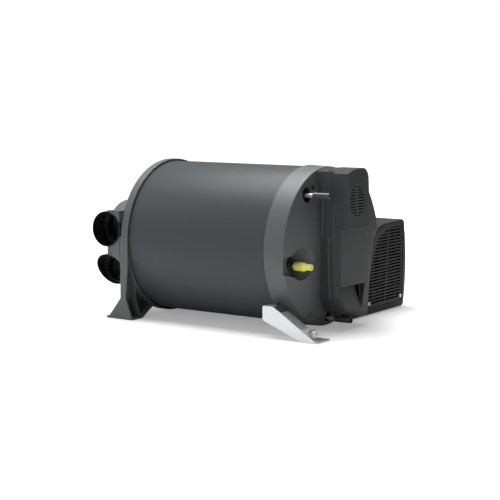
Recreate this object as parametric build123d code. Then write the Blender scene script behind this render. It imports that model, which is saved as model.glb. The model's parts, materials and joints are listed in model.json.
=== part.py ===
"""Combined air and water heater for a caravan, lying on its side.

A drum with a water tank round a finned heat exchanger stands between two moulded end caps.
The outlet cap carries two feet and an air distributor with four duct sockets. The control
cap carries the burner, the covered electronics, the water and fuel connections and a steel
floor bracket. A fan housing with a louvred intake grille hangs on the rear of the drum.

Everything is drawn round the drum's axis: X runs along the drum towards the control end,
-Y is the front, +Z is up. Each piece is then moved so that the origin is on the floor,
in the middle of the heater's footprint. Lengths are in millimetres, angles in degrees.
"""
from build123d import *
import math
import os

os.makedirs("parts", exist_ok=True)

# Overall reach from the drum's axis
AXIS_HEIGHT = 150.0
FRONT_REACH = 150.0
REAR_REACH = 302.0
OUTLET_REACH = 285.0
LOUVRE_REACH = 225.0

# Clearances and cutting
FIT = 0.3
SHAFT_FIT = 0.05
PARTING = 0.4
OVERRUN = 20.0

# Drum
DRUM_R = 145.0
SHELL_WALL = 2.5
SHELL_LEFT = 199.0
SHELL_RIGHT = 109.5
RIM_LAP = 6.0
GASKET_WIDTH = 1.4
GASKET_PROUD = 1.6

# Tank, insulation, heat exchanger and burner
JACKET_SPACE = 17.0
TANK_R = DRUM_R - JACKET_SPACE
TANK_BORE_R = 68.0
TANK_WALL = 1.5
TANK_LEFT = 190.0
TANK_RIGHT = 78.0
INSULATION_END = 4.0
CORE_R = 46.0
FIN_COUNT = 20
FIN_WALL = 2.6
EXCHANGER_LEFT = 176.0
EXCHANGER_RIGHT = 64.0
CHAMBER_R = 41.0
CHAMBER_WALL = 2.0
CHAMBER_LEFT = 150.0
BURNER_R = 50.0
BURNER_LEFT = 82.0
BURNER_RIGHT = 138.0
BURNER_FLANGE_R = 58.0
BURNER_FLANGE_WALL = 4.0
NOZZLE_R = 16.0
IGNITER_R = 4.0
IGNITER_LENGTH = 16.0
IGNITER_X = 110.0
IGNITER_ANGLE = 110.0
IGNITER_HEX_R = 7.0
IGNITER_HEX_HEIGHT = 5.0
SENSOR_R = 3.5
SENSOR_LENGTH = 20.0
SENSOR_Y = 60.0
SENSOR_Z = -85.0

# Combustion air fan
BLOWER_R = 41.0
BLOWER_LENGTH = 27.0
BLOWER_WALL = 2.5
BLOWER_INLET_R = 16.0
BLOWER_WHEEL_R = 34.0
BLOWER_WHEEL_WIDTH = 12.0
BLOWER_BLADES = 12
BLOWER_BLADE_WALL = 1.2
BLOWER_DISC = 1.6
BLOWER_HUB_R = 7.0
BLOWER_SHAFT_R = 2.5
BLOWER_MOTOR_R = 18.0
BLOWER_MOTOR_LENGTH = 30.0

# Outlet end cap
OUTLET_CAP_PROUD = 4.0
OUTLET_CAP_R = DRUM_R + OUTLET_CAP_PROUD
OUTLET_RIM_WIDTH = 20.0
OUTLET_EDGE_R = 7.0
CAP_WALL = 3.0
AIR_OPENING_R = 66.0

# Feet of the outlet end cap
WEB_SET_BACK = 1.5
WAIST_HEIGHT = 40.5
WAIST_RIGHT = 205.0
FOOT_HEEL = 189.6
FOOT_TOE = 251.6
FOOT_LIP = 3.5
FOOT_LIP_LENGTH = 5.5
FOOT_DEPTH = 31.0
FOOT_WALL = 4.0
GUSSET_IN = 73.0
GUSSET_HEIGHT = 19.0
FOOT_HOLE_R = 2.75
FOOT_HOLE_X = 233.0

# Air distributor
DISTRIBUTOR_SIDE = 112.0
DISTRIBUTOR_TOP = 70.0
DISTRIBUTOR_BOTTOM = 98.0
DISTRIBUTOR_CORNER_R = 56.0
DISTRIBUTOR_EDGE_R = 16.0
DISTRIBUTOR_WALL = 3.0
SOCKET_BLOCK_SET_BACK = 1.5
SOCKET_BLOCK_REACH = FRONT_REACH - SOCKET_BLOCK_SET_BACK
SOCKET_BLOCK_MARGIN = 2.0

# Duct sockets
SOCKET_R = 33.8
SOCKET_BORE_R = 32.5
SOCKET_STEP_R = 28.5
SOCKET_DEPTH = 37.0
SOCKET_LENGTH = 54.0
SOCKET_ROOT = FRONT_REACH - SOCKET_LENGTH
SOCKET_FLAT = 30.6
SOCKET_SHIFT = 0.5
SOCKET_HIGH_Z = 20.5
SOCKET_LOW_Z = 58.5
SOCKET_LOW_SET_BACK = 15.0
SOCKET_LOW_Y = FRONT_REACH - SOCKET_LOW_SET_BACK
SOCKET_TILT = 26.0
SOCKET_LIP_R = 0.6

# Control end cap
CONTROL_RIM_PROUD = 2.5
CONTROL_RIM_R = DRUM_R + CONTROL_RIM_PROUD
CONTROL_DRAFT = 1.5
CONTROL_FACE_R = CONTROL_RIM_R - CONTROL_DRAFT
CONTROL_FACE_X = 150.0
CONTROL_EDGE_R = 1.6
DOME_RISE = 16.0
BLOWER_OPENING_R = 46.0

# Recess round the fuel line
RECESS_Y = 100.0
RECESS_Z = 21.0
RECESS_MOUTH_R = 30.0
RECESS_FLOOR_R = 15.0
RECESS_FLOOR_X = 135.0
RECESS_MOUTH_X = 157.0
CHANNEL_TOP = 8.0
CHANNEL_BOTTOM = 36.0
CHANNEL_FLARE = 12.0
CHANNEL_LIP_X = 149.0
CHANNEL_ROOT_Y = 116.0
CHANNEL_ROOT_X = 138.0

# Fuel line, its seal and the transport cap
FUEL_Y = 100.0
FUEL_Z = 26.0
FUEL_R = 4.0
FUEL_BORE_R = 3.0
FUEL_END_X = 172.0
FUEL_BEND_X = 106.0
FUEL_BEND_R = 14.0
SEAL_R = 14.0
SEAL_HEIGHT = 5.0
SEAL_NECK_R = 7.5
SEAL_EDGE_R = 2.0
TRANSPORT_CAP_R = 7.9
TRANSPORT_CAP_NOSE_R = 5.7
TRANSPORT_CAP_START = 143.6
TRANSPORT_CAP_STEP = 166.5
TRANSPORT_CAP_END = 179.6
TRANSPORT_CAP_BEVEL = 1.6
TRANSPORT_CAP_NOSE_WALL = 4.0

# Water connections
HOT_Y = 75.0
HOT_Z = 98.5
HOT_HOLE_R = 14.0
COLD_Y = 1.0
COLD_Z = 132.0
COLD_HOLE_Y = 0.5
COLD_HOLE_Z = 130.3
COLD_HOLE_R = 9.5
COLD_TANK_Z = 112.0
COLD_BEND_X = 96.0
COLD_STRAIGHT_X = 128.0
COLD_BEND_R = 14.0
WATER_TUBE_R = 4.0
WATER_TUBE_BORE_R = 3.2
WATER_TUBE_END_X = 176.0
WATER_TUBE_ENTRY = 8.0
GROMMET_WALL = 5.0
GROMMET_RADIAL_WALL = 3.0
GROMMET_DEPTH = 9.0
SLEEVE_WALL = 3.0
SLEEVE_DEPTH = 22.0
HOSE_TAIL_R = 6.1
HOSE_TAIL_BORE_R = 4.8
HOSE_TAIL_LENGTH = 34.0
HOSE_TAIL_NOSE_R = 3.0

# Small openings in the control face
PILOT_HOLE_Y = 54.8
PILOT_HOLE_Z = 111.0
PILOT_HOLE_R = 4.6
SLOT_Y = 61.3
SLOT_Z = 117.9
SLOT_LENGTH = 10.0
SLOT_WIDTH = 3.2
SLOT_TILT = 52.0
NOTCH_Y = 75.0
NOTCH_Z = 125.5
NOTCH_R = 3.5

# Lug for the floor bracket
LUG_LEFT = 113.0
LUG_RIGHT = 128.0
LUG_TOP = 95.0
LUG_BOTTOM = 116.0
LUG_IN = 92.0

# Covers of the control unit
COVER_SHOULDER_Z = 27.0
COVER_DROP = 136.0
COVER_TOP_R = 145.5
COVER_CORNER_R = 9.0
COVER_WALL = 2.5
COVER_FACE_X = 200.0
COVER_EDGE_R = 12.0
COVER_START_X = 151.0
PARTING_X = 178.0
PARTING_HIGH_FOOT_X = 165.5
PARTING_HIGH_Z = 96.0
PARTING_HIGH_TOP_X = 174.0
PARTING_LEVEL_Z = 22.0
FLANGE_WIDTH = 4.0
FLANGE_HEIGHT = 7.0
COVER_BOW = 7.0
COVER_STEP = 0.9
COVER_TOP_FRONT = 39.0
COVER_TOP_REAR = 35.0
COVER_SHOULDER_Y = 109.0
COVER_FRONT_LOW_Z = 92.0
shoulder_shares = ((0.76, 0.64), (1.0, 0.22))
lower_outline_shares = (
    (0.84, 0.05),
    (0.75, -0.22),
    (0.68, -0.76),
    (0.66, -1.0),
    (0.25, -0.96),
    (-0.16, -0.875),
)

# Louvred housing on the upper cover
LOUVRE_FRONT = 47.5
LOUVRE_REAR = 26.0
LOUVRE_BOTTOM = 38.0
LOUVRE_TOP_X = 219.5
LOUVRE_CORNER_R = 20.0
LOUVRE_LOW_CORNER_R = 5.0
LOUVRE_SEAM_TOP_X = 191.0
LOUVRE_SEAM_MID_X = 195.0
LOUVRE_SEAM_FOOT_X = 199.8
LOUVRE_R = 27.5
LOUVRE_Y = 17.0
LOUVRE_Z = 88.0
LOUVRE_WINDOW_INSET = 8.0
LOUVRE_SLOTS = 11
LOUVRE_SLOT_HEIGHT = 2.4
LOUVRE_BAR = 4.5

# Scoop in the lower cover
SCOOP_LEFT = 50.0
SCOOP_RIGHT = 54.0
SCOOP_TOP_Z = 67.0
SCOOP_TOP_FALL = 2.4
SCOOP_END_HEIGHT = 17.5
SCOOP_BOTTOM_Z = 114.0
SCOOP_LOW_Y = 36.0
SCOOP_BELLY_Y = 10.0
SCOOP_BELLY_Z = 102.0
SCOOP_RUN = 40.0
SCOOP_DEPTH = 11.0
SCOOP_TIP_R = 4.0
SCOOP_SLOT_LEFT = 30.0
SCOOP_SLOT_RIGHT = 52.4
SCOOP_SLOT_TOP = 70.5
SCOOP_SLOT_BOTTOM = 111.5
SCOOP_SLOT_TIP_Y = 41.5
SCOOP_SLOT_DEPTH = 22.0

# Circuit board
BOARD_X = 180.0
BOARD_WALL = 1.6
BOARD_FRONT = 34.0
BOARD_REAR = 56.0
BOARD_HALF_HEIGHT = 84.0
PILLAR_R = 3.5
PILLAR_INSET = 6.0
RELAY_WIDTH = 16.0
RELAY_LENGTH = 19.0
RELAY_HEIGHT = 12.0
PLUG_WIDTH = 10.0
PLUG_LENGTH = 26.0
PLUG_HEIGHT = 9.0

# Fan housing and intake grille
FAN_FACE_X = 154.0
FAN_BACK_X = 38.0
FAN_BASE = 149.0
FAN_TOP = 26.5
FAN_TOP_FALL = 11.0
FAN_INNER = 95.0
FAN_BROW_Y = 212.0
FAN_BROW_RUN = 38.0
FAN_BROW_FALL = 13.0
FAN_SIDE_DRAW = 9.0
FAN_CORNER_R = 9.0
FAN_EDGE_R = 4.0
FAN_WALL = 2.5
GRILLE_LEFT = 142.0
GRILLE_HIGH_LEFT = 183.0
GRILLE_BOW_LEFT = 154.5
GRILLE_BOW_RIGHT = 3.0
GRILLE_BOW_Z = 60.0
GRILLE_RIGHT = 287.0
GRILLE_TOP = 19.0
GRILLE_TOP_LEFT = 17.0
GRILLE_BROW_Y = 226.0
GRILLE_BROW_FALL = 1.5
GRILLE_BOTTOM = 137.0
GRILLE_CORNER_R = 9.0
GRILLE_BAR_TOP_Y = 230.0
GRILLE_BAR_LOW_Y = 214.0
GRILLE_BAR_WIDTH = 3.0
GRILLE_MARK_Y = 254.0
GRILLE_MARK_TOP = 31.0
GRILLE_MARK_BOTTOM = 51.0
GRILLE_MARK_WIDTH = 2.4
GRILLE_PAD_R = 6.0
GRILLE_WALL = 3.0
GRILLE_RECESS = 1.2
GRILLE_FRAME = 5.0
GRILLE_SLOT_PITCH = 6.15
GRILLE_SLOT_HEIGHT = 3.3
GRILLE_RIB_WIDTH = 3.0
GRILLE_RIB_DEPTH = 6.0
grille_rib_shares = (0.2, 0.4, 0.82)
CLIP_HEIGHT = 12.0
CLIP_DEPTH = 6.0
AIR_PORT_LEFT = 119.0
AIR_PORT_RIGHT = 143.0
AIR_PORT_TOP = 12.0
AIR_PORT_BOTTOM = 72.0

# Circulation fan
FAN_AXIS_Y = 214.0
FAN_AXIS_Z = 60.0
WHEEL_R = 66.0
WHEEL_INLET_R = 51.0
WHEEL_BACK_X = 62.0
WHEEL_FRONT_X = 122.0
WHEEL_PLATE = 2.0
WHEEL_BLADES = 26
WHEEL_BLADE_WALL = 1.4
WHEEL_BLADE_LEAN = 28.0
WHEEL_HUB_R = 13.0
WHEEL_HUB_LENGTH = 26.0
FAN_SHAFT_R = 4.0
FAN_SHAFT_END_GAP = 1.0
MOTOR_R = 33.0
MOTOR_LENGTH = 17.0
MOTOR_EDGE_R = 3.0
INLET_RING_X = 128.0
INLET_RING_R = 53.0
INLET_RING_WALL = 2.0
INLET_RING_LIP = 6.0

# Flue
FLUE_X = 112.0
FLUE_ANGLE = 33.0
EXHAUST_R = 27.0
EXHAUST_WALL = 1.2
EXHAUST_BEAD_R = 28.4
EXHAUST_BEAD_WIDTH = 3.0
EXHAUST_MOUTH = 14.0
AIR_COLLAR_R = 32.5
AIR_COLLAR_WALL = 2.0
FLUE_BOSS_R = 41.0
FLUE_BOSS_HEIGHT = 11.0
FLUE_BOSS_END = DRUM_R + FLUE_BOSS_HEIGHT
AIR_COLLAR_LENGTH = 16.0
AIR_COLLAR_END = FLUE_BOSS_END + AIR_COLLAR_LENGTH
EXHAUST_END = AIR_COLLAR_END + EXHAUST_MOUTH

# Floor bracket and screws
STEEL = 2.0
BRACKET_LEFT = 109.0
BRACKET_TOP_RIGHT = 129.0
BRACKET_TOP = 93.0
BRACKET_LEFT_DROP = 26.0
BRACKET_SOLE_LEFT = 187.0
BRACKET_SOLE_RIGHT = 222.0
BRACKET_SOLE_DEPTH = 46.0
BRACKET_HOOK_DEPTH = 20.0
BRACKET_CORNER_R = 3.0
BRACKET_HOLE_R = 2.75
BRACKET_HOLE_X = 213.0
BRACKET_HOLE_FRONT_INSET = 12.0
BRACKET_HOLE_FRONT_Y = FRONT_REACH - BRACKET_HOLE_FRONT_INSET
BRACKET_HOLE_REAR_INSET = 36.0
BRACKET_HOLE_REAR_Y = FRONT_REACH - BRACKET_HOLE_REAR_INSET
BRACKET_KNEE_X = 146.5
BRACKET_KNEE_Z = 102.5
RAMP_END_X = 188.0
RAMP_DEPTH = 26.5
BOLT_X = 196.0
BOLT_INSET = 28.0
BOLT_Y = FRONT_REACH - BOLT_INSET
SLEEVE_R = 7.0
SLEEVE_HEIGHT = 8.0
BOLT_HOLE_R = 3.2
BOLT_SHANK_R = 3.0
BOLT_HEAD_R = 7.5
BOLT_HEAD_HEIGHT = 6.0
WASHER_R = 9.0
WASHER_WALL = 1.6
SCREW_HEAD_R = 3.4
SCREW_HEAD_HEIGHT = 2.4
SCREW_SHANK_R = 1.8
SCREW_LENGTH = 8.0
SCREW_LEFT_Y = 151.0
SCREW_RIGHT_Y = 277.0
SCREW_LOW_Z = 127.0

# The row's origin, seen from the drum's axis
ROW_X = (LOUVRE_REACH - OUTLET_REACH) / 2
ROW_Y = (REAR_REACH - FRONT_REACH) / 2

OUTLET_CAP_LEFT = -SHELL_LEFT - OUTLET_RIM_WIDTH
SOCKET_X = -OUTLET_REACH + SOCKET_R + SOCKET_SHIFT


def place(shape):
    """Moves a shape from the drum's axis to the row's origin."""
    return shape.moved(Location((-ROW_X, -ROW_Y, AXIS_HEIGHT)))


def save(name, shape):
    """Writes one node, as a compound where it holds several solids."""
    solids = shape.solids() if hasattr(shape, "solids") else [shape]
    placed = [place(solid) for solid in solids]
    body = placed[0] if len(placed) == 1 else Compound(placed)
    export_step(body, os.path.join("parts", name + ".step"))


def rod(x_start, x_end, radius, y=0, z=0):
    """A solid cylinder along X."""
    base = Plane.YZ.offset(x_start) * Pos(y, z) * Circle(radius)
    return extrude(base, x_end - x_start)


def tube(x_start, x_end, radius, bore, y=0, z=0):
    """A tube along X."""
    base = Plane.YZ.offset(x_start) * Pos(y, z) * (Circle(radius) - Circle(bore))
    return extrude(base, x_end - x_start)


def block(x_low, x_high, y_low, y_high, z_low, z_high):
    """A box between two corners."""
    size = Box(x_high - x_low, y_high - y_low, z_high - z_low)
    return Pos((x_low + x_high) / 2, (y_low + y_high) / 2, (z_low + z_high) / 2) * size


def turned(points):
    """Turns a closed outline of (x, radius) points round the drum's axis."""
    outline = make_face(Polyline([(x, 0, r) for x, r in points], close=True))
    return revolve(outline, Axis.X)


def across(points, y_start, y_end):
    """Extrudes a closed outline of (x, z) points along Y."""
    outline = make_face(Polyline([(x, y_start, z) for x, z in points], close=True))
    return extrude(outline, y_end - y_start, dir=(0, 1, 0))


def along(points, x_start, x_end, corner=0):
    """Extrudes a closed outline of (y, z) points along X, with rounded corners if asked."""
    outline = make_face(Polyline(list(points), close=True))
    if corner:
        outline = fillet(outline.vertices(), corner)
    return extrude(Plane.YZ.offset(x_start) * outline, x_end - x_start)


def dome_x(radius):
    """Where the domed control face lies at a radius from the axis."""
    return CONTROL_FACE_X + DOME_RISE * (1 - (radius / CONTROL_FACE_R) ** 2)


def control_form(grow=0):
    """The control end as one solid: rim and domed face, grown outward by an amount."""
    rim = CONTROL_RIM_R + grow
    edge = CONTROL_FACE_R + grow
    face = CONTROL_FACE_X + grow
    lines = Line((SHELL_RIGHT, 0, 0), (SHELL_RIGHT, 0, rim))
    lines += Line((SHELL_RIGHT, 0, rim), (face, 0, edge))
    middle = edge / 2
    crown = face + DOME_RISE
    bulge = face + DOME_RISE * (1 - (middle / edge) ** 2)
    lines += ThreePointArc((face, 0, edge), (bulge, 0, middle), (crown, 0, 0))
    lines += Line((crown, 0, 0), (SHELL_RIGHT, 0, 0))
    return revolve(make_face(lines), Axis.X)


# Drum, tank and heat exchanger

def flue_bore(radius):
    """A radial cut for the flue through the wall of the drum."""
    cut = Plane((FLUE_X, BURNER_R, 0), x_dir=(1, 0, 0), z_dir=(0, 1, 0)) * Circle(radius)
    return extrude(cut, EXHAUST_END).rotate(Axis.X, FLUE_ANGLE)


def drum_shell():
    """The outer tube, with the hole for the flue."""
    left = -SHELL_LEFT - RIM_LAP
    right = SHELL_RIGHT + RIM_LAP
    shell = tube(left, right, DRUM_R, DRUM_R - SHELL_WALL)
    return shell - flue_bore(AIR_COLLAR_R - AIR_COLLAR_WALL)


def insulation_jacket():
    """Foam between the shell and the tank."""
    outer = DRUM_R - SHELL_WALL - FIT
    return tube(-TANK_LEFT - INSULATION_END, TANK_RIGHT + INSULATION_END, outer, TANK_R + FIT)


def water_tank():
    """Ring-shaped steel tank, closed all round."""
    body = tube(-TANK_LEFT, TANK_RIGHT, TANK_R, TANK_BORE_R)
    room = tube(
        -TANK_LEFT + TANK_WALL, TANK_RIGHT - TANK_WALL, TANK_R - TANK_WALL, TANK_BORE_R + TANK_WALL
    )
    return body - room


def heat_exchanger():
    """Cast core with straight fins that reach the bore of the tank."""
    length = EXCHANGER_RIGHT + EXCHANGER_LEFT
    reach = TANK_BORE_R - FIT
    section = Circle(CORE_R)
    for index in range(FIN_COUNT):
        fin = Pos(reach / 2, 0) * Rectangle(reach, FIN_WALL)
        section += Rot(0, 0, index * 360 / FIN_COUNT) * fin
    section -= Circle(CHAMBER_R + FIT)
    return extrude(Plane.YZ.offset(-EXCHANGER_LEFT) * section, length)


def combustion_chamber():
    """Steel flame tube, closed at the far end."""
    outside = rod(-CHAMBER_LEFT, BURNER_LEFT - FIT, CHAMBER_R)
    inside = rod(-CHAMBER_LEFT + CHAMBER_WALL, BURNER_LEFT + OVERRUN, CHAMBER_R - CHAMBER_WALL)
    return outside - inside


def burner_housing():
    """Cast housing that closes the flame tube and holds the nozzle."""
    body = rod(BURNER_LEFT, BURNER_RIGHT, BURNER_R)
    body += rod(BURNER_LEFT, BURNER_LEFT + BURNER_FLANGE_WALL, BURNER_FLANGE_R)
    room = rod(
        BURNER_LEFT - OVERRUN, BURNER_RIGHT - 2 * CHAMBER_WALL, CHAMBER_R - CHAMBER_WALL
    )
    inward = Plane((FLUE_X, 0, 0), x_dir=(1, 0, 0), z_dir=(0, 1, 0)) * Circle(EXHAUST_R - EXHAUST_WALL)
    exhaust = extrude(inward, BURNER_R + OVERRUN).rotate(Axis.X, FLUE_ANGLE)
    inlet = rod(BURNER_RIGHT - OVERRUN, BURNER_RIGHT + OVERRUN, NOZZLE_R)
    base = Plane((IGNITER_X, 0, 0), x_dir=(1, 0, 0), z_dir=(0, 1, 0)) * Circle(IGNITER_R)
    socket = extrude(base, BURNER_R + OVERRUN).rotate(Axis.X, IGNITER_ANGLE)
    return body - room - exhaust - inlet - socket


def glow_igniter():
    """Igniter that screws into the top of the burner."""
    base = Plane((IGNITER_X, BURNER_R - IGNITER_LENGTH / 2, 0), x_dir=(1, 0, 0), z_dir=(0, 1, 0))
    stem = extrude(base * Circle(IGNITER_R), 1.5 * IGNITER_LENGTH)
    seat = Plane((IGNITER_X, BURNER_R, 0), x_dir=(1, 0, 0), z_dir=(0, 1, 0))
    body = stem + extrude(seat * RegularPolygon(IGNITER_HEX_R, 6), IGNITER_HEX_HEIGHT)
    return body.rotate(Axis.X, IGNITER_ANGLE)


def water_sensor():
    """Temperature sensor on the end plate of the tank."""
    stem = rod(TANK_RIGHT, TANK_RIGHT + SENSOR_LENGTH, SENSOR_R, SENSOR_Y, SENSOR_Z)
    hexagon = Plane.YZ.offset(TANK_RIGHT) * Pos(SENSOR_Y, SENSOR_Z) * RegularPolygon(2 * SENSOR_R, 6)
    return stem + extrude(hexagon, SENSOR_R)


# Combustion air fan

BLOWER_LEFT = BURNER_RIGHT + FIT
BLOWER_RIGHT = BLOWER_LEFT + BLOWER_LENGTH
BLOWER_PLATE = BLOWER_LEFT + BLOWER_WALL
BLOWER_WHEEL_X = BLOWER_PLATE + BLOWER_WALL


def combustion_fan_housing():
    """Round casing on the burner, with an inlet hole towards the covers."""
    body = rod(BLOWER_LEFT, BLOWER_RIGHT, BLOWER_R)
    room = rod(BLOWER_PLATE, BLOWER_RIGHT - BLOWER_WALL, BLOWER_R - BLOWER_WALL)
    inlet = rod(BLOWER_LEFT - OVERRUN, BLOWER_RIGHT + OVERRUN, BLOWER_INLET_R)
    return body - room - inlet


def combustion_fan_motor():
    """Motor in front of the wheel, with the bearing bore for its shaft."""
    start = BLOWER_RIGHT + FIT
    flange = rod(start, start + BLOWER_WALL, BLOWER_MOTOR_R + BLOWER_WALL)
    body = rod(start, start + BLOWER_MOTOR_LENGTH / 3, BLOWER_MOTOR_R)
    bore = rod(start - OVERRUN, start + OVERRUN, BLOWER_SHAFT_R + SHAFT_FIT)
    return flange + body - bore


def combustion_fan_wheel():
    """Disc with radial blades and its shaft."""
    front = BLOWER_WHEEL_X + BLOWER_WHEEL_WIDTH
    start = BLOWER_RIGHT + FIT
    wheel = rod(front - BLOWER_DISC, front, BLOWER_WHEEL_R)
    wheel += rod(BLOWER_WHEEL_X, front, BLOWER_HUB_R)
    blade = block(
        BLOWER_WHEEL_X,
        front - BLOWER_DISC,
        BLOWER_HUB_R - BLOWER_DISC,
        BLOWER_WHEEL_R - BLOWER_DISC,
        -BLOWER_BLADE_WALL / 2,
        BLOWER_BLADE_WALL / 2,
    )
    for index in range(BLOWER_BLADES):
        wheel += blade.rotate(Axis.X, index * 360 / BLOWER_BLADES)
    shaft = rod(front - BLOWER_DISC, start + BLOWER_MOTOR_LENGTH / 3, BLOWER_SHAFT_R)
    return wheel + shaft


# Outlet end: cap with feet, distributor and duct sockets

def socket_axis_plane(tilted):
    """Plane at the mouth of a front socket, with its normal pointing inward."""
    if tilted:
        slope = math.radians(SOCKET_TILT)
        inward = (0, math.cos(slope), math.sin(slope))
        return Plane((SOCKET_X, -SOCKET_LOW_Y, -SOCKET_LOW_Z), x_dir=(1, 0, 0), z_dir=inward)
    return Plane((SOCKET_X, -FRONT_REACH, SOCKET_HIGH_Z), x_dir=(1, 0, 0), z_dir=(0, 1, 0))


def socket_core(tilted, radius, depth):
    """A cylinder from the mouth of a front socket inward, flattened for the lower one."""
    flat = SOCKET_FLAT - SOCKET_R + radius if tilted else radius
    centre_z = -SOCKET_LOW_Z if tilted else SOCKET_HIGH_Z
    base = Plane((SOCKET_X, -FRONT_REACH, centre_z), x_dir=(1, 0, 0), z_dir=(0, 1, 0))
    section = base * (Ellipse(radius, flat) if tilted else Circle(radius))
    return extrude(section, depth)


def mouth_cut():
    """Everything outside the tilted mouth of the lower front socket."""
    side = OUTLET_REACH
    outside = Pos(0, 0, -side / 2) * Box(side, side, side)
    return socket_axis_plane(True) * outside


def duct_socket(tilted):
    """Front socket: a bore with a stop ring for the duct."""
    reach = FRONT_REACH - SOCKET_ROOT
    body = socket_core(tilted, SOCKET_R, reach)
    if not tilted:
        mouth = body.edges().filter_by(GeomType.CIRCLE).sort_by(Axis.Y)[0]
        body = fillet(mouth, SOCKET_LIP_R)
    body -= socket_core(tilted, SOCKET_BORE_R, SOCKET_DEPTH)
    body -= socket_core(tilted, SOCKET_STEP_R, 2 * reach)
    if tilted:
        body -= mouth_cut()
        body -= socket_core(False, SOCKET_R + FIT, reach + OVERRUN)
    return body


def foot_profile(inset=0):
    """Side outline of a foot, seen along Y."""
    left = OUTLET_CAP_LEFT + WEB_SET_BACK
    right = -SHELL_LEFT
    sole = -AXIS_HEIGHT
    waist = sole + WAIST_HEIGHT
    lip = sole + FOOT_LIP
    return [
        (left, OUTLET_EDGE_R),
        (left, waist),
        (-FOOT_TOE + FOOT_LIP_LENGTH, lip),
        (-FOOT_TOE, lip),
        (-FOOT_TOE, sole),
        (-FOOT_HEEL, sole),
        (-WAIST_RIGHT, waist),
        (right - inset, -DRUM_R / 3),
        (right - inset, OUTLET_EDGE_R),
    ]


def foot_pocket():
    """Hollow of a foot, open towards the drum, with one upright rib left in it."""
    sole = -AXIS_HEIGHT
    front = -OUTLET_CAP_R + FOOT_WALL
    left = OUTLET_CAP_LEFT + WEB_SET_BACK + FOOT_WALL
    open_side = -FOOT_HEEL + OVERRUN
    waist = sole + WAIST_HEIGHT
    floor = sole + FOOT_LIP
    rib = -OUTLET_CAP_R + FOOT_DEPTH
    inner = -GUSSET_IN - FOOT_WALL
    low_inner = sole + GUSSET_HEIGHT + FOOT_LIP
    reach = -FOOT_TOE + FOOT_LIP_LENGTH + 2 * FOOT_WALL
    side = [
        (left, OUTLET_EDGE_R),
        (left, waist),
        (reach, floor),
        (open_side, floor),
        (open_side, OUTLET_EDGE_R),
    ]
    outer = [(front, 0), (front, floor), (rib - FOOT_WALL, floor), (rib - FOOT_WALL, 0)]
    gusset_floor = floor + FOOT_WALL
    web = [(rib, 0), (rib, gusset_floor), (inner, low_inner), (inner, 0)]
    pocket = along(outer, -FOOT_TOE, open_side) + along(web, -FOOT_TOE, open_side)
    pocket = pocket & across(side, front, 0)
    return pocket - rod(-FOOT_TOE - OVERRUN, open_side, OUTLET_CAP_R)


def outlet_foot():
    """One moulded foot: a web under the rim, hollow towards the drum."""
    sole = -AXIS_HEIGHT
    front = -OUTLET_CAP_R
    toe = front + FOOT_DEPTH
    gusset_z = sole + GUSSET_HEIGHT
    ring_line = [(front, OUTLET_EDGE_R), (front, sole), (toe, sole), (-GUSSET_IN, gusset_z)]
    ring_line += [(-GUSSET_IN, -DRUM_R / 2), (-DRUM_R / 2, OUTLET_EDGE_R)]
    body = along(ring_line, -FOOT_TOE, -FOOT_HEEL)
    body = body & across(foot_profile(), front, 0)
    hole = Pos(-FOOT_HOLE_X, front + FOOT_DEPTH / 2, sole) * Cylinder(FOOT_HOLE_R, OVERRUN)
    return body - foot_pocket() - hole


def outlet_end_cap():
    """Ring with an end wall, a central air opening and two feet."""
    left = OUTLET_CAP_LEFT
    right = -SHELL_LEFT
    ring = turned([(left, 0), (right, 0), (right, OUTLET_CAP_R), (left, OUTLET_CAP_R)])
    outer_edges = ring.edges().filter_by(GeomType.CIRCLE).sort_by(Axis.X)[:1]
    ring = fillet(outer_edges, OUTLET_EDGE_R)
    foot = outlet_foot()
    body = ring + foot + mirror(foot, Plane.XZ)
    body -= rod(left + CAP_WALL, right + OVERRUN, DRUM_R - SHELL_WALL - CAP_WALL)
    body -= rod(right - RIM_LAP - FIT, right + OVERRUN, DRUM_R + FIT)
    body -= rod(left - OVERRUN, right, AIR_OPENING_R)
    for tilted in (False, True):
        depth = FRONT_REACH - SOCKET_ROOT + OVERRUN
        notch = socket_core(tilted, SOCKET_R + FIT, depth)
        body = body - notch - mirror(notch, Plane.XZ)
    return body - rod(right, -FOOT_HEEL + OVERRUN, DRUM_R + GASKET_PROUD + FIT)


def gasket(x_start):
    """Thin rubber ring between the shell's rim and an end cap."""
    ring = tube(x_start, x_start + GASKET_WIDTH, DRUM_R + GASKET_PROUD, DRUM_R + FIT / 2)
    return ring - flue_bore(FLUE_BOSS_R + FIT)


def distributor_outline(inset):
    """Rounded outline of the distributor, seen along X."""
    side = DISTRIBUTOR_SIDE - inset
    height = DISTRIBUTOR_TOP + DISTRIBUTOR_BOTTOM - 2 * inset
    middle = (DISTRIBUTOR_TOP - DISTRIBUTOR_BOTTOM) / 2
    return Pos(0, middle) * RectangleRounded(2 * side, height, DISTRIBUTOR_CORNER_R - inset)


def distributor_form(inset):
    """Distributor as a solid with a rounded outer edge."""
    left = -OUTLET_REACH + inset
    body = extrude(Plane.YZ.offset(left) * distributor_outline(inset), OUTLET_CAP_LEFT - left)
    edges = body.faces().sort_by(Axis.X)[0].edges()
    return fillet(edges, DISTRIBUTOR_EDGE_R - inset)


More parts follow.
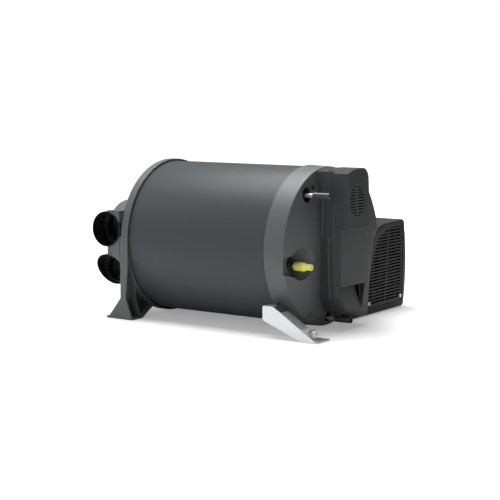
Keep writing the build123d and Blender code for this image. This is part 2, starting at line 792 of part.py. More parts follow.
def air_distributor():
    """Hollow head that shares the warm air between the four sockets."""
    body = distributor_form(0)
    high = SOCKET_HIGH_Z + SOCKET_R + SOCKET_BLOCK_MARGIN
    front = -SOCKET_BLOCK_REACH
    profile = [(-SOCKET_ROOT, high), (front, high), (front, -SOCKET_LOW_Z), (-SOCKET_ROOT, -SOCKET_LOW_Z)]
    shoulder = along(profile, SOCKET_X + SOCKET_BLOCK_MARGIN, OUTLET_CAP_LEFT) - mouth_cut()
    body = body + shoulder + mirror(shoulder, Plane.XZ)
    body -= distributor_form(DISTRIBUTOR_WALL)
    for tilted in (False, True):
        bore = socket_core(tilted, SOCKET_R + FIT, FRONT_REACH - SOCKET_ROOT + FIT)
        body = body - bore - mirror(bore, Plane.XZ)
        flow = socket_core(tilted, SOCKET_STEP_R, FRONT_REACH - SOCKET_ROOT + SOCKET_R)
        body = body - flow - mirror(flow, Plane.XZ)
    return body.solids().sort_by(SortBy.VOLUME)[-1]


# Control end: domed cap with the recess and the holes

def recess_form(grow):
    """Cone and side channel of the recess, grown outward by an amount."""
    slope = (RECESS_MOUTH_R - RECESS_FLOOR_R) / (RECESS_MOUTH_X - RECESS_FLOOR_X)
    floor = RECESS_FLOOR_X - grow
    mouth = RECESS_MOUTH_X + OVERRUN
    mouth_r = RECESS_MOUTH_R + slope * OVERRUN + grow
    floor_r = RECESS_FLOOR_R - slope * grow + grow
    cone_low = Plane.YZ.offset(floor) * Pos(-RECESS_Y, -RECESS_Z) * Circle(floor_r)
    cone_high = Plane.YZ.offset(mouth) * Pos(-RECESS_Y, -RECESS_Z) * Circle(mouth_r)
    cone = loft([cone_low, cone_high])
    edge_y = -CONTROL_RIM_R - OVERRUN
    floor_line = make_face(
        Polyline(
            [
                (CHANNEL_LIP_X - grow, edge_y, 0),
                (CHANNEL_LIP_X - grow, -CONTROL_RIM_R, 0),
                (CHANNEL_ROOT_X - grow, -CHANNEL_ROOT_Y, 0),
                (CHANNEL_ROOT_X - grow, -RECESS_Y + grow, 0),
                (mouth, -RECESS_Y + grow, 0),
                (mouth, edge_y, 0),
            ],
            close=True,
        )
    )
    wedge = along(
        [
            (edge_y, -CHANNEL_TOP + grow),
            (-CONTROL_RIM_R, -CHANNEL_TOP + grow),
            (-RECESS_Y + CAP_WALL, -CHANNEL_TOP + CHANNEL_FLARE + grow),
            (-RECESS_Y + CAP_WALL, -CHANNEL_BOTTOM - CHANNEL_FLARE - grow),
            (-CONTROL_RIM_R, -CHANNEL_BOTTOM - grow),
            (edge_y, -CHANNEL_BOTTOM - grow),
        ],
        CHANNEL_ROOT_X - OVERRUN,
        mouth,
    )
    height = CONTROL_RIM_R
    channel = extrude(floor_line.moved(Location((0, 0, -height))), 2 * height, dir=(0, 0, 1)) & wedge
    return cone + channel


def air_port():
    """Window through which the fan housing blows into the control end."""
    reach = FAN_AXIS_Y - WHEEL_R
    return block(
        AIR_PORT_LEFT, AIR_PORT_RIGHT, FAN_INNER, reach, -AIR_PORT_BOTTOM, -AIR_PORT_TOP
    )


def control_end_cap():
    """Rim with a domed face, the fuel recess, water holes and the bracket's lug."""
    form = control_form()
    edge = form.edges().filter_by(GeomType.CIRCLE).sort_by(Axis.X)[-2:-1]
    form = fillet(edge, CONTROL_EDGE_R) if edge else form
    inner = control_form(-CAP_WALL)
    lug = block(
        LUG_LEFT, LUG_RIGHT, -FRONT_REACH + STEEL, -LUG_IN, -LUG_BOTTOM, -LUG_TOP
    ) - rod(LUG_LEFT - OVERRUN, LUG_RIGHT + OVERRUN, CONTROL_FACE_R - CAP_WALL)
    shell = form + lug - inner - rod(0, SHELL_RIGHT + RIM_LAP + FIT, DRUM_R + FIT)
    shell += recess_form(CAP_WALL) & form
    sleeve_left = CONTROL_FACE_X - SLEEVE_DEPTH
    for y, z, radius in (
        (-HOT_Y, HOT_Z, HOT_HOLE_R),
        (COLD_HOLE_Y, -COLD_HOLE_Z, COLD_HOLE_R),
    ):
        reach = CONTROL_FACE_X + OVERRUN
        shell += rod(sleeve_left, reach, radius + SLEEVE_WALL, y, z) & form
        shell -= rod(sleeve_left - OVERRUN, reach, radius, y, z)
    shell -= recess_form(0)
    shell -= rod(0, CONTROL_FACE_X, SEAL_NECK_R + FIT, -FUEL_Y, -FUEL_Z)
    shell -= rod(0, CONTROL_FACE_X + 2 * OVERRUN, BLOWER_OPENING_R)
    shell -= rod(0, CONTROL_FACE_X + OVERRUN, PILOT_HOLE_R, -PILOT_HOLE_Y, PILOT_HOLE_Z)
    slot = Plane.YZ.offset(CONTROL_FACE_X - OVERRUN) * Pos(-SLOT_Y, -SLOT_Z)
    shell -= extrude(slot * Rot(0, 0, SLOT_TILT) * SlotOverall(SLOT_LENGTH, SLOT_WIDTH), 2 * OVERRUN)
    shell -= rod(CONTROL_FACE_X - SLEEVE_WALL, CONTROL_FACE_X + OVERRUN, NOTCH_R, -NOTCH_Y, -NOTCH_Z)
    return shell - flue_bore(AIR_COLLAR_R - AIR_COLLAR_WALL) - air_port()


# Fuel line and transport cap

def fuel_line():
    """Bent tube from the burner out through the recess."""
    start_y = -BURNER_R
    path = FilletPolyline(
        (FUEL_BEND_X, start_y, -FUEL_Z),
        (FUEL_BEND_X, -FUEL_Y, -FUEL_Z),
        (FUEL_END_X, -FUEL_Y, -FUEL_Z),
        radius=FUEL_BEND_R,
    )
    section = Plane((FUEL_BEND_X, start_y, -FUEL_Z), z_dir=(0, -1, 0)) * (
        Circle(FUEL_R) - Circle(FUEL_BORE_R)
    )
    return sweep(section, path) - rod(0, CONTROL_FACE_X, BURNER_R + FIT)


def fuel_line_seal():
    """Rubber seal on the floor of the recess."""
    start = RECESS_FLOOR_X + FIT / 2
    head = rod(start, start + SEAL_HEIGHT, SEAL_R, -FUEL_Y, -FUEL_Z)
    head = fillet(head.edges().filter_by(GeomType.CIRCLE).sort_by(Axis.X)[-1], SEAL_EDGE_R)
    neck = rod(start - CAP_WALL, start, SEAL_NECK_R, -FUEL_Y, -FUEL_Z)
    keep = recess_form(-FIT / 2) + neck
    return (head + neck) & keep - rod(0, CONTROL_FACE_X, FUEL_R + FIT / 2, -FUEL_Y, -FUEL_Z)


def transport_cap():
    """Push-on cap that keeps the fuel line clean until it is connected."""
    lines = [
        (TRANSPORT_CAP_START, 0),
        (TRANSPORT_CAP_START, TRANSPORT_CAP_R - TRANSPORT_CAP_BEVEL),
        (TRANSPORT_CAP_START + TRANSPORT_CAP_BEVEL, TRANSPORT_CAP_R),
        (TRANSPORT_CAP_STEP - TRANSPORT_CAP_BEVEL, TRANSPORT_CAP_R),
        (TRANSPORT_CAP_STEP + TRANSPORT_CAP_BEVEL / 2, TRANSPORT_CAP_NOSE_R),
        (TRANSPORT_CAP_END, TRANSPORT_CAP_NOSE_R),
        (TRANSPORT_CAP_END, 0),
    ]
    body = turned(lines).moved(Location((0, -FUEL_Y, -FUEL_Z)))
    bore_end = TRANSPORT_CAP_END - TRANSPORT_CAP_NOSE_WALL
    return body - rod(0, bore_end, FUEL_R + SHAFT_FIT, -FUEL_Y, -FUEL_Z)


# Water tubes, grommets and hose tails

def hot_water_tube():
    """Straight tube from the tank's end plate."""
    return tube(
        TANK_RIGHT + FIT, WATER_TUBE_END_X, WATER_TUBE_R, WATER_TUBE_BORE_R, -HOT_Y, HOT_Z
    )


def cold_water_tube():
    """Cranked tube from the tank's end plate down to the lower hole."""
    start = TANK_RIGHT + FIT
    path = FilletPolyline(
        (start, COLD_Y, -COLD_TANK_Z),
        (COLD_BEND_X, COLD_Y, -COLD_TANK_Z),
        (COLD_STRAIGHT_X, COLD_Y, -COLD_Z),
        (WATER_TUBE_END_X, COLD_Y, -COLD_Z),
        radius=COLD_BEND_R,
    )
    section = Plane((start, COLD_Y, -COLD_TANK_Z), z_dir=(1, 0, 0)) * (
        Circle(WATER_TUBE_R) - Circle(WATER_TUBE_BORE_R)
    )
    return sweep(section, path)


def grommet(y, z, hole_r, tube_y, tube_z):
    """Rubber ring between a water tube and the edge of its hole."""
    start = CONTROL_FACE_X - SLEEVE_DEPTH + SLEEVE_WALL
    ring = tube(start, start + GROMMET_WALL, hole_r - FIT / 2, hole_r - GROMMET_RADIAL_WALL, y, z)
    web = rod(start, start + GROMMET_WALL / 2, hole_r - FIT / 2, y, z)
    collar = rod(start, start + GROMMET_DEPTH, WATER_TUBE_R + GROMMET_RADIAL_WALL, tube_y, tube_z)
    collar = collar & rod(start, start + GROMMET_DEPTH, hole_r - FIT / 2, y, z)
    tube_hole = rod(start - OVERRUN, start + OVERRUN, WATER_TUBE_R + FIT / 2, tube_y, tube_z)
    return ring + web + collar - tube_hole


def hose_tail(y, z, rounded):
    """Plastic hose tail pushed on a water tube; the upper one is closed and rounded."""
    start = WATER_TUBE_END_X - WATER_TUBE_ENTRY
    end = start + HOSE_TAIL_LENGTH
    body = rod(start, end, HOSE_TAIL_R, y, z)
    body -= rod(start, WATER_TUBE_END_X + FIT, WATER_TUBE_R + SHAFT_FIT, y, z)
    if rounded:
        body = fillet(
            body.edges().filter_by(GeomType.CIRCLE).sort_by(Axis.X)[-1], HOSE_TAIL_NOSE_R
        )
        return body
    return body - rod(WATER_TUBE_END_X, end + OVERRUN, HOSE_TAIL_BORE_R, y, z)


# Covers of the control unit

def cover_sketch(inset):
    """Outline of the control unit's cover, seen along X."""
    top = COVER_TOP_R
    left_top = (-COVER_TOP_FRONT, math.sqrt(top ** 2 - COVER_TOP_FRONT ** 2))
    right_top = (COVER_TOP_REAR, math.sqrt(top ** 2 - COVER_TOP_REAR ** 2))
    corner = (COVER_SHOULDER_Y, COVER_SHOULDER_Z)
    middle = (COVER_SHOULDER_Y * shoulder_shares[0][0], COVER_DROP * shoulder_shares[0][1])
    left_low = (-COVER_TOP_FRONT, -COVER_FRONT_LOW_Z)
    lines = ThreePointArc(left_top, (0, top), right_top)
    lines += ThreePointArc(right_top, middle, corner)
    last = corner
    for share_y, share_z in lower_outline_shares:
        point = (COVER_SHOULDER_Y * share_y, COVER_DROP * share_z)
        lines += Line(last, point)
        last = point
    lines += Line(last, left_low)
    lines += ThreePointArc(left_low, (-COVER_TOP_FRONT - COVER_BOW, 0), left_top)
    outline = make_face(lines)
    outline = fillet(outline.vertices().sort_by(Axis.Y)[:6], COVER_CORNER_R)
    return offset(outline, -inset) if inset else outline


def cover_form(inset):
    """Cover as a solid with a rounded front edge."""
    depth = COVER_FACE_X - inset - COVER_START_X
    body = extrude(Plane.YZ.offset(COVER_START_X) * cover_sketch(inset), depth)
    edges = body.faces().sort_by(Axis.X)[-1].edges()
    return fillet(edges, COVER_EDGE_R - inset)


def stepped_form():
    """Cover with its narrower neck towards the dome."""
    neck = extrude(
        Plane.YZ.offset(COVER_START_X) * cover_sketch(COVER_STEP), PARTING_X - COVER_START_X
    )
    front = cover_form(0) & block(
        PARTING_X, 2 * COVER_FACE_X, -COVER_FACE_X, COVER_FACE_X, -COVER_FACE_X, COVER_FACE_X
    )
    return neck + front


def louvre_profile(inset):
    """Side outline of the louvred housing, seen along Y."""
    top = COVER_TOP_R + OVERRUN
    low = LOUVRE_BOTTOM + inset
    front_top = LOUVRE_TOP_X - inset
    front_low = LOUVRE_REACH - inset
    if inset:
        start = COVER_FACE_X
        return [(start, low), (front_low, low), (front_top, top), (start, top)]
    return [
        (LOUVRE_SEAM_FOOT_X, low),
        (front_low, low),
        (front_top, top),
        (LOUVRE_SEAM_TOP_X, top),
        (LOUVRE_SEAM_TOP_X, LOUVRE_Z + LOUVRE_CORNER_R),
        (LOUVRE_SEAM_MID_X, LOUVRE_Z - LOUVRE_CORNER_R / 2),
    ]


def louvre_form(inset):
    """The raised housing as a solid, rounded at the top and at the rear."""
    top = COVER_TOP_R - inset
    front = LOUVRE_FRONT - inset
    rear = LOUVRE_REAR - inset
    low = LOUVRE_BOTTOM + inset
    crest_left = (-front, math.sqrt(top ** 2 - front ** 2))
    crest_right = (rear, math.sqrt(top ** 2 - rear ** 2))
    lines = Line((-front, low), crest_left)
    lines += ThreePointArc(crest_left, (0, top), crest_right)
    lines += Line(crest_right, (rear, low))
    lines += Line((rear, low), (-front, low))
    outline = make_face(lines)
    high_rear = outline.vertices().sort_by(Axis.X)[-2:].sort_by(Axis.Y)[-1]
    outline = fillet(high_rear, LOUVRE_CORNER_R - inset)
    outline = fillet(outline.vertices().sort_by(Axis.Y)[:2], LOUVRE_LOW_CORNER_R - inset)
    body = extrude(Plane.YZ.offset(COVER_START_X) * outline, LOUVRE_REACH + OVERRUN - COVER_START_X)
    return body & across(louvre_profile(inset), -front - OVERRUN, rear + OVERRUN)


def front_zone(gap):
    """Everything in front of the parting line between the base and the upper cover."""
    far = LOUVRE_REACH + 2 * OVERRUN
    side = COVER_DROP + 2 * OVERRUN
    line = [
        (PARTING_HIGH_FOOT_X + gap, -side),
        (PARTING_HIGH_FOOT_X + gap, PARTING_HIGH_Z),
        (PARTING_HIGH_TOP_X + gap, COVER_TOP_R),
        (PARTING_HIGH_TOP_X + gap, side),
        (far, side),
        (far, -side),
    ]
    return across(line, -side, side)


def cover_skin():
    """The whole hollow cover before it is parted."""
    return stepped_form() - cover_form(COVER_WALL)


def seat_cut():
    """What the control end cap takes away from pieces seated on its dome."""
    return control_form(FIT)


def cover_base():
    """Frame on the dome that the two covers close."""
    flange = extrude(
        Plane.YZ.offset(COVER_START_X) * (cover_sketch(-FLANGE_WIDTH) - cover_sketch(COVER_WALL)),
        DOME_RISE + FLANGE_HEIGHT,
    )
    flange = flange & control_form(FLANGE_HEIGHT) & rod(COVER_START_X, PARTING_X, CONTROL_RIM_R)
    low = -2 * COVER_DROP
    level = PARTING_LEVEL_Z - PARTING / 2
    wall = cover_skin() & block(COVER_START_X, PARTING_X, low, -low, low, level)
    upper = cover_skin() & block(COVER_START_X, PARTING_X, low, -low, level, -low)
    body = wall + (upper + flange - front_zone(0))
    body -= extrude(Plane.YZ * cover_sketch(COVER_WALL), PARTING_X + OVERRUN)
    gap = WATER_TUBE_R + FLANGE_WIDTH / 2
    return body - seat_cut() - rod(0, COVER_FACE_X, gap, COLD_Y, -COLD_Z) - upper_zone(0)


def upper_zone(gap):
    """Everything that belongs to the upper cover."""
    side = 2 * COVER_DROP
    above = block(0, 2 * side, -side, side, PARTING_LEVEL_Z + gap, side)
    return front_zone(gap) & above


def louvre_slots():
    """Rows of horizontal slots in a round field, on both sides of an upright bar."""
    pitch = 2 * LOUVRE_R / LOUVRE_SLOTS
    cuts = None
    for index in range(LOUVRE_SLOTS):
        offset = (index - (LOUVRE_SLOTS - 1) / 2) * pitch
        half = math.sqrt(LOUVRE_R ** 2 - offset ** 2)
        z_low = LOUVRE_Z + offset - LOUVRE_SLOT_HEIGHT / 2
        for side in (-1, 1):
            low, high = sorted((side * LOUVRE_BAR / 2, side * half))
            slot = block(
                COVER_FACE_X,
                LOUVRE_REACH + OVERRUN,
                -LOUVRE_Y + low,
                -LOUVRE_Y + high,
                z_low,
                z_low + LOUVRE_SLOT_HEIGHT,
            )
            cuts = slot if cuts is None else cuts + slot
    return cuts


def upper_cover():
    """Upper cover with the raised louvred housing."""
    inner = cover_form(COVER_WALL)
    window = block(
        COVER_FACE_X - 2 * COVER_WALL,
        COVER_FACE_X + COVER_WALL,
        -LOUVRE_FRONT + LOUVRE_WINDOW_INSET,
        LOUVRE_REAR - LOUVRE_WINDOW_INSET,
        LOUVRE_BOTTOM + LOUVRE_WINDOW_INSET,
        COVER_TOP_R - 2 * LOUVRE_WINDOW_INSET,
    )
    body = stepped_form() + louvre_form(0) - inner - louvre_form(COVER_WALL) - window
    return (body & upper_zone(PARTING / 2)) - louvre_slots() - seat_cut()


def scoop_outline():
    """Outline of the scoop on the covers' face."""
    high_left = (-SCOOP_LEFT, -SCOOP_TOP_Z)
    high_right = (SCOOP_RIGHT, -SCOOP_TOP_Z - SCOOP_TOP_FALL)
    low_right = (SCOOP_SLOT_TIP_Y + FIT, -SCOOP_BOTTOM_Z)
    low = (SCOOP_LOW_Y, -SCOOP_BOTTOM_Z)
    belly = (-SCOOP_BELLY_Y, -SCOOP_BELLY_Z)
    low_left = (-SCOOP_LEFT, -SCOOP_TOP_Z - SCOOP_END_HEIGHT)
    lines = Line(high_left, high_right) + Line(high_right, low_right) + Line(low_right, low)
    lines += ThreePointArc(low, belly, low_left)
    lines += Line(low_left, high_left)
    outline = make_face(lines)
    return fillet(outline.vertices().sort_by(Axis.X)[:2], SCOOP_TIP_R)


def scoop_cut(grow):
    """Wedge that fades out at the scoop's lower left edge."""
    rise = SCOOP_BOTTOM_Z - SCOOP_TOP_Z - SCOOP_END_HEIGHT
    lean = math.degrees(math.atan2(rise, SCOOP_LEFT + SCOOP_LOW_Y))
    lead = (OVERRUN + grow) * SCOOP_RUN / SCOOP_DEPTH
    floor = COVER_FACE_X - SCOOP_DEPTH - grow
    corners = [
        (COVER_FACE_X + OVERRUN, 0, -lead),
        (floor, 0, SCOOP_RUN),
        (floor, 0, 2 * SCOOP_RUN),
        (COVER_FACE_X + OVERRUN, 0, 2 * SCOOP_RUN),
    ]
    profile = make_face(Polyline(corners, close=True))
    wedge = extrude(profile, 2 * (SCOOP_LEFT + SCOOP_RIGHT), both=True, dir=(0, 1, 0))
    wedge = wedge.rotate(Axis.X, -lean)
    wedge = wedge.moved(Location((0, -SCOOP_LEFT, -SCOOP_TOP_Z - SCOOP_END_HEIGHT)))
    side = offset(scoop_outline(), grow) if grow else scoop_outline()
    return extrude(Plane.YZ.offset(floor - OVERRUN) * side, SCOOP_RUN) & wedge


def scoop_slot():
    """Triangular opening at the wide end of the scoop, with its point down."""
    outline = [
        (SCOOP_SLOT_LEFT, -SCOOP_SLOT_TOP),
        (SCOOP_SLOT_RIGHT, -SCOOP_SLOT_TOP),
        (SCOOP_SLOT_TIP_Y, -SCOOP_SLOT_BOTTOM),
    ]
    return along(outline, COVER_FACE_X - SCOOP_SLOT_DEPTH, COVER_FACE_X + OVERRUN)


def lower_cover():
    """Lower cover with the scooped recess."""
    skin = cover_form(0) & scoop_cut(COVER_WALL)
    body = cover_skin() + skin - scoop_cut(0) - scoop_slot()
    side = 2 * COVER_DROP
    start = PARTING_X + PARTING
    return body & block(start, 2 * side, -side, side, -side, PARTING_LEVEL_Z - PARTING / 2)


# Circuit board

def circuit_board():
    """Board behind the covers."""
    return block(
        BOARD_X,
        BOARD_X + BOARD_WALL,
        -BOARD_FRONT,
        BOARD_REAR,
        -BOARD_HALF_HEIGHT,
        BOARD_HALF_HEIGHT,
    )


def board_pillars():
    """Four pillars between the dome and the board."""
    pillars = None
    for y in (-BOARD_FRONT + PILLAR_INSET, BOARD_REAR - PILLAR_INSET):
        for z in (-BOARD_HALF_HEIGHT + PILLAR_INSET, BOARD_HALF_HEIGHT - PILLAR_INSET):
            start = dome_x(math.hypot(y, z) - PILLAR_R) + FIT
            pillar = rod(start, BOARD_X - FIT, PILLAR_R, y, z)
            pillars = pillar if pillars is None else pillars + pillar
    return pillars


def board_parts():
    """Relays and plug sockets on the board."""
    face = BOARD_X + BOARD_WALL
    rows = None
    for index in range(3):
        low_z = (index - 1) * 1.5 * RELAY_LENGTH - RELAY_LENGTH / 2
        relay = block(face, face + RELAY_HEIGHT, 0, RELAY_WIDTH, low_z, low_z + RELAY_LENGTH)
        plug_y = BOARD_REAR - PILLAR_INSET - PLUG_WIDTH
        plug = block(face, face + PLUG_HEIGHT, plug_y - PLUG_WIDTH, plug_y, low_z, low_z + PLUG_LENGTH)
        rows = relay + plug if rows is None else rows + relay + plug
    return rows


# Fan housing, grille and circulation fan

def fan_sketch(inset):
    """Outline of the fan housing, seen along X."""
    base = -FAN_BASE
    side = REAR_REACH - FAN_SIDE_DRAW
    brow = (FAN_BROW_Y, FAN_TOP - FAN_TOP_FALL / 4)
    inner = (FAN_INNER, FAN_TOP - 5 * FAN_TOP_FALL)
    lines = Line((FAN_INNER, base), (side, base))
    lines += ThreePointArc((side, base), (REAR_REACH, -FAN_AXIS_Z), (side, FAN_TOP))
    lines += Line((side, FAN_TOP), brow)
    lines += ThreePointArc(brow, (FAN_BROW_Y - FAN_BROW_RUN, FAN_TOP - FAN_BROW_FALL), inner)
    lines += Line(inner, (FAN_INNER, base))
    outline = make_face(lines)
    corners = outline.vertices().sort_by(Axis.X)[-2:]
    outline = fillet(corners, FAN_CORNER_R)
    return offset(outline, -inset) if inset else outline


def fan_form(inset):
    """Fan housing as a solid that fits round the drum."""
    left = FAN_BACK_X + inset
    body = extrude(Plane.YZ.offset(left) * fan_sketch(inset), FAN_FACE_X - left)
    if not inset:
        edges = body.faces().sort_by(Axis.X)[-1].edges()
        body = fillet(edges, FAN_EDGE_R)
    saddle = rod(0, FAN_FACE_X + OVERRUN, CONTROL_RIM_R + FIT + inset)
    return body - saddle


def grille_sketch(inset):
    """Outline of the intake opening, curved round the drum at its left."""
    high = GRILLE_TOP - inset
    low = -GRILLE_BOTTOM + inset
    right = GRILLE_RIGHT - GRILLE_BOW_RIGHT - inset
    high_left = (GRILLE_HIGH_LEFT + inset, high - GRILLE_TOP_LEFT)
    low_left = (GRILLE_LEFT + inset, low)
    bow_left = (GRILLE_BOW_LEFT + inset, -GRILLE_BOW_Z)
    bow_right = (GRILLE_RIGHT - inset, -GRILLE_BOW_Z)
    brow = (GRILLE_BROW_Y, high - GRILLE_BROW_FALL)
    lines = ThreePointArc(high_left, bow_left, low_left)
    lines += Line(low_left, (right, low))
    lines += ThreePointArc((right, low), bow_right, (right, high))
    lines += ThreePointArc((right, high), brow, high_left)
    outline = make_face(lines)
    corners = outline.vertices().sort_by(Axis.X)
    return fillet(corners[:1] + corners[-2:], GRILLE_CORNER_R - inset)


def fan_housing():
    """Hollow housing, open at the grille and at the port into the drum."""
    ledge_x = FAN_FACE_X - GRILLE_RECESS - GRILLE_WALL
    behind = block(0, ledge_x - FAN_WALL, 0, 2 * REAR_REACH, -2 * FAN_BASE, FAN_BASE)
    body = fan_form(0) - (fan_form(FAN_WALL) & behind)
    body -= extrude(Plane.YZ.offset(ledge_x) * grille_sketch(0), OVERRUN)
    body -= extrude(Plane.YZ.offset(ledge_x - OVERRUN) * grille_sketch(GRILLE_FRAME), 2 * OVERRUN)
    clip_y = REAR_REACH - FAN_CORNER_R
    body -= block(
        FAN_FACE_X - CLIP_DEPTH,
        FAN_FACE_X + OVERRUN,
        clip_y,
        REAR_REACH + OVERRUN,
        FAN_TOP - 2 * CLIP_HEIGHT,
        FAN_TOP - CLIP_HEIGHT,
    )
    for y, z in screw_places():
        body -= rod(FAN_FACE_X - OVERRUN, FAN_FACE_X + OVERRUN, SCREW_SHANK_R + FIT / 2, y, z)
    return body - air_port()


def screw_places():
    """Where the two screws of the grille sit, as (y, z)."""
    return ((SCREW_LEFT_Y, -SCREW_LOW_Z), (SCREW_RIGHT_Y, -SCREW_LOW_Z))


def grille_slots():
    """All the openings of the grille, drawn on its plane."""
    low = -GRILLE_BOTTOM + GRILLE_FRAME + GRILLE_SLOT_PITCH / 2
    count = int((GRILLE_TOP - GRILLE_FRAME - low) / GRILLE_SLOT_PITCH) + 1
    middle = (GRILLE_LEFT + GRILLE_RIGHT) / 2
    rows = Sketch()
    for index in range(count):
        level = low + index * GRILLE_SLOT_PITCH + GRILLE_SLOT_HEIGHT / 2
        rows += Pos(middle, level) * Rectangle(GRILLE_RIGHT - GRILLE_LEFT, GRILLE_SLOT_HEIGHT)
    rows = rows & grille_sketch(GRILLE_FRAME + 4 * FIT)
    bar = [
        (GRILLE_BAR_TOP_Y, GRILLE_TOP),
        (GRILLE_BAR_TOP_Y + GRILLE_BAR_WIDTH, GRILLE_TOP),
        (GRILLE_BAR_LOW_Y + GRILLE_BAR_WIDTH, -GRILLE_BOTTOM),
        (GRILLE_BAR_LOW_Y, -GRILLE_BOTTOM),
    ]
    rows -= make_face(Polyline(bar, close=True))
    for y, z in screw_places():
        rows -= Pos(y, z) * Circle(GRILLE_PAD_R)
    mark_level = -(GRILLE_MARK_TOP + GRILLE_MARK_BOTTOM) / 2
    mark = Rectangle(GRILLE_MARK_WIDTH, GRILLE_MARK_BOTTOM - GRILLE_MARK_TOP)
    return rows + Pos(GRILLE_MARK_Y + GRILLE_MARK_WIDTH / 2, mark_level) * mark


def intake_grille():
    """Louvred plate with a slanting bar, a short upright slot and ribs behind it."""
    back = FAN_FACE_X - GRILLE_RECESS - GRILLE_WALL + FIT / 2
    plate = extrude(Plane.YZ.offset(back) * grille_sketch(FIT), GRILLE_WALL)
    plate -= extrude(Plane.YZ.offset(back - OVERRUN) * grille_slots(), 2 * OVERRUN)
    for y, z in screw_places():
        plate -= rod(back - OVERRUN, back + OVERRUN, SCREW_SHANK_R + FIT / 2, y, z)
    inner = extrude(
        Plane.YZ.offset(back - GRILLE_RIB_DEPTH) * grille_sketch(GRILLE_FRAME + FIT), GRILLE_RIB_DEPTH
    )
    for share in grille_rib_shares:
        y = GRILLE_LEFT + share * (GRILLE_RIGHT - GRILLE_LEFT)
        rib = block(
            back - GRILLE_RIB_DEPTH, back, y, y + GRILLE_RIB_WIDTH, -GRILLE_BOTTOM, GRILLE_TOP
        )
        plate += rib & inner
    return plate


def grille_screws():
    """Small screws in the corners of the grille."""
    seat = FAN_FACE_X - GRILLE_RECESS + FIT / 2
    screws = []
    for y, z in screw_places():
        head = rod(seat, seat + SCREW_HEAD_HEIGHT, SCREW_HEAD_R, y, z)
        shank = rod(seat - SCREW_LENGTH, seat, SCREW_SHANK_R, y, z)
        screws.append(head + shank)
    return Compound(children=screws)


def fan_inlet_ring():
    """Partition with a lipped hole that leads the air into the wheel."""
    plate = fan_form(FAN_WALL + FIT) & block(
        INLET_RING_X, INLET_RING_X + INLET_RING_WALL, 0, 2 * REAR_REACH, -2 * FAN_BASE, FAN_BASE
    )
    lip = rod(
        INLET_RING_X - INLET_RING_LIP + INLET_RING_WALL,
        INLET_RING_X + INLET_RING_WALL,
        INLET_RING_R + INLET_RING_WALL,
        FAN_AXIS_Y,
        -FAN_AXIS_Z,
    )
    hole = rod(0, REAR_REACH, INLET_RING_R, FAN_AXIS_Y, -FAN_AXIS_Z)
    return plate + lip - hole


def circulation_fan_motor():
    """Flat motor on the back wall of the housing, with its bearing bore."""
    start = FAN_BACK_X + FAN_WALL + FIT
    body = rod(start, start + MOTOR_LENGTH, MOTOR_R, FAN_AXIS_Y, -FAN_AXIS_Z)
    body = fillet(body.edges().filter_by(GeomType.CIRCLE).sort_by(Axis.X)[-1], MOTOR_EDGE_R)
    bore = rod(start - OVERRUN, start + 2 * MOTOR_LENGTH, FAN_SHAFT_R + SHAFT_FIT, FAN_AXIS_Y, -FAN_AXIS_Z)
    return body - bore


def circulation_fan_shaft():
    """Shaft that carries the wheel in the motor."""
    start = FAN_BACK_X + FAN_WALL + FAN_SHAFT_END_GAP
    end = WHEEL_BACK_X + WHEEL_HUB_LENGTH
    return rod(start, end, FAN_SHAFT_R, FAN_AXIS_Y, -FAN_AXIS_Z)


def circulation_fan_wheel():
    """Drum-shaped fan wheel with leaning blades."""
    wheel = rod(WHEEL_BACK_X, WHEEL_BACK_X + WHEEL_PLATE, WHEEL_R)
    wheel += tube(WHEEL_FRONT_X - WHEEL_PLATE, WHEEL_FRONT_X, WHEEL_R, WHEEL_INLET_R)
    wheel += rod(WHEEL_BACK_X, WHEEL_BACK_X + WHEEL_HUB_LENGTH, WHEEL_HUB_R)
    wheel -= rod(0, WHEEL_FRONT_X, FAN_SHAFT_R + SHAFT_FIT)
    blade_length = WHEEL_R - WHEEL_INLET_R
    for index in range(WHEEL_BLADES):
        blade = Pos(0, (WHEEL_R + WHEEL_INLET_R) / 2, 0) * (
            Rot(WHEEL_BLADE_LEAN, 0, 0)
            * Box(WHEEL_FRONT_X - WHEEL_BACK_X - WHEEL_PLATE, blade_length, WHEEL_BLADE_WALL)
        )
        blade = blade.moved(Location(((WHEEL_FRONT_X + WHEEL_BACK_X) / 2, 0, 0)))
        wheel += blade.rotate(Axis.X, index * 360 / WHEEL_BLADES)
    return wheel.moved(Location((0, FAN_AXIS_Y, -FAN_AXIS_Z)))


# Flue

def flue_tube(start, end, radius, bore):
    """A radial tube at the flue's angle."""
    base = Plane((FLUE_X, start, 0), x_dir=(1, 0, 0), z_dir=(0, 1, 0)) * (
        Circle(radius) - Circle(bore)
    )
    return extrude(base, end - start).rotate(Axis.X, FLUE_ANGLE)


def exhaust_tube():
    """Inner tube that carries the burnt gas away, with a bead that stops the duct."""
    body = flue_tube(0, EXHAUST_END, EXHAUST_R, EXHAUST_R - EXHAUST_WALL)
    flange_end = BURNER_LEFT + BURNER_FLANGE_WALL + FIT
    body -= rod(0, flange_end, BURNER_FLANGE_R + FIT)
    bead_start = AIR_COLLAR_END - EXHAUST_BEAD_WIDTH
    bead = flue_tube(bead_start, AIR_COLLAR_END, EXHAUST_BEAD_R, EXHAUST_R - EXHAUST_WALL)
    return body + bead - rod(0, 2 * FLUE_X, BURNER_R + FIT)


def combustion_air_collar():
    """Outer collar for the combustion air."""
    bore = AIR_COLLAR_R - AIR_COLLAR_WALL
    return flue_tube(FLUE_BOSS_END, AIR_COLLAR_END, AIR_COLLAR_R, bore)


def flue_boss():
    """Saddle that seats the flue on the rim of the drum."""
    body = flue_tube(FLUE_BOSS_END / 2, FLUE_BOSS_END, FLUE_BOSS_R, AIR_COLLAR_R - AIR_COLLAR_WALL)
    step = rod(SHELL_RIGHT - FIT, 2 * FLUE_X, CONTROL_RIM_R + FIT)
    return body - rod(0, 2 * FLUE_X, DRUM_R + FIT) - step


# Floor bracket

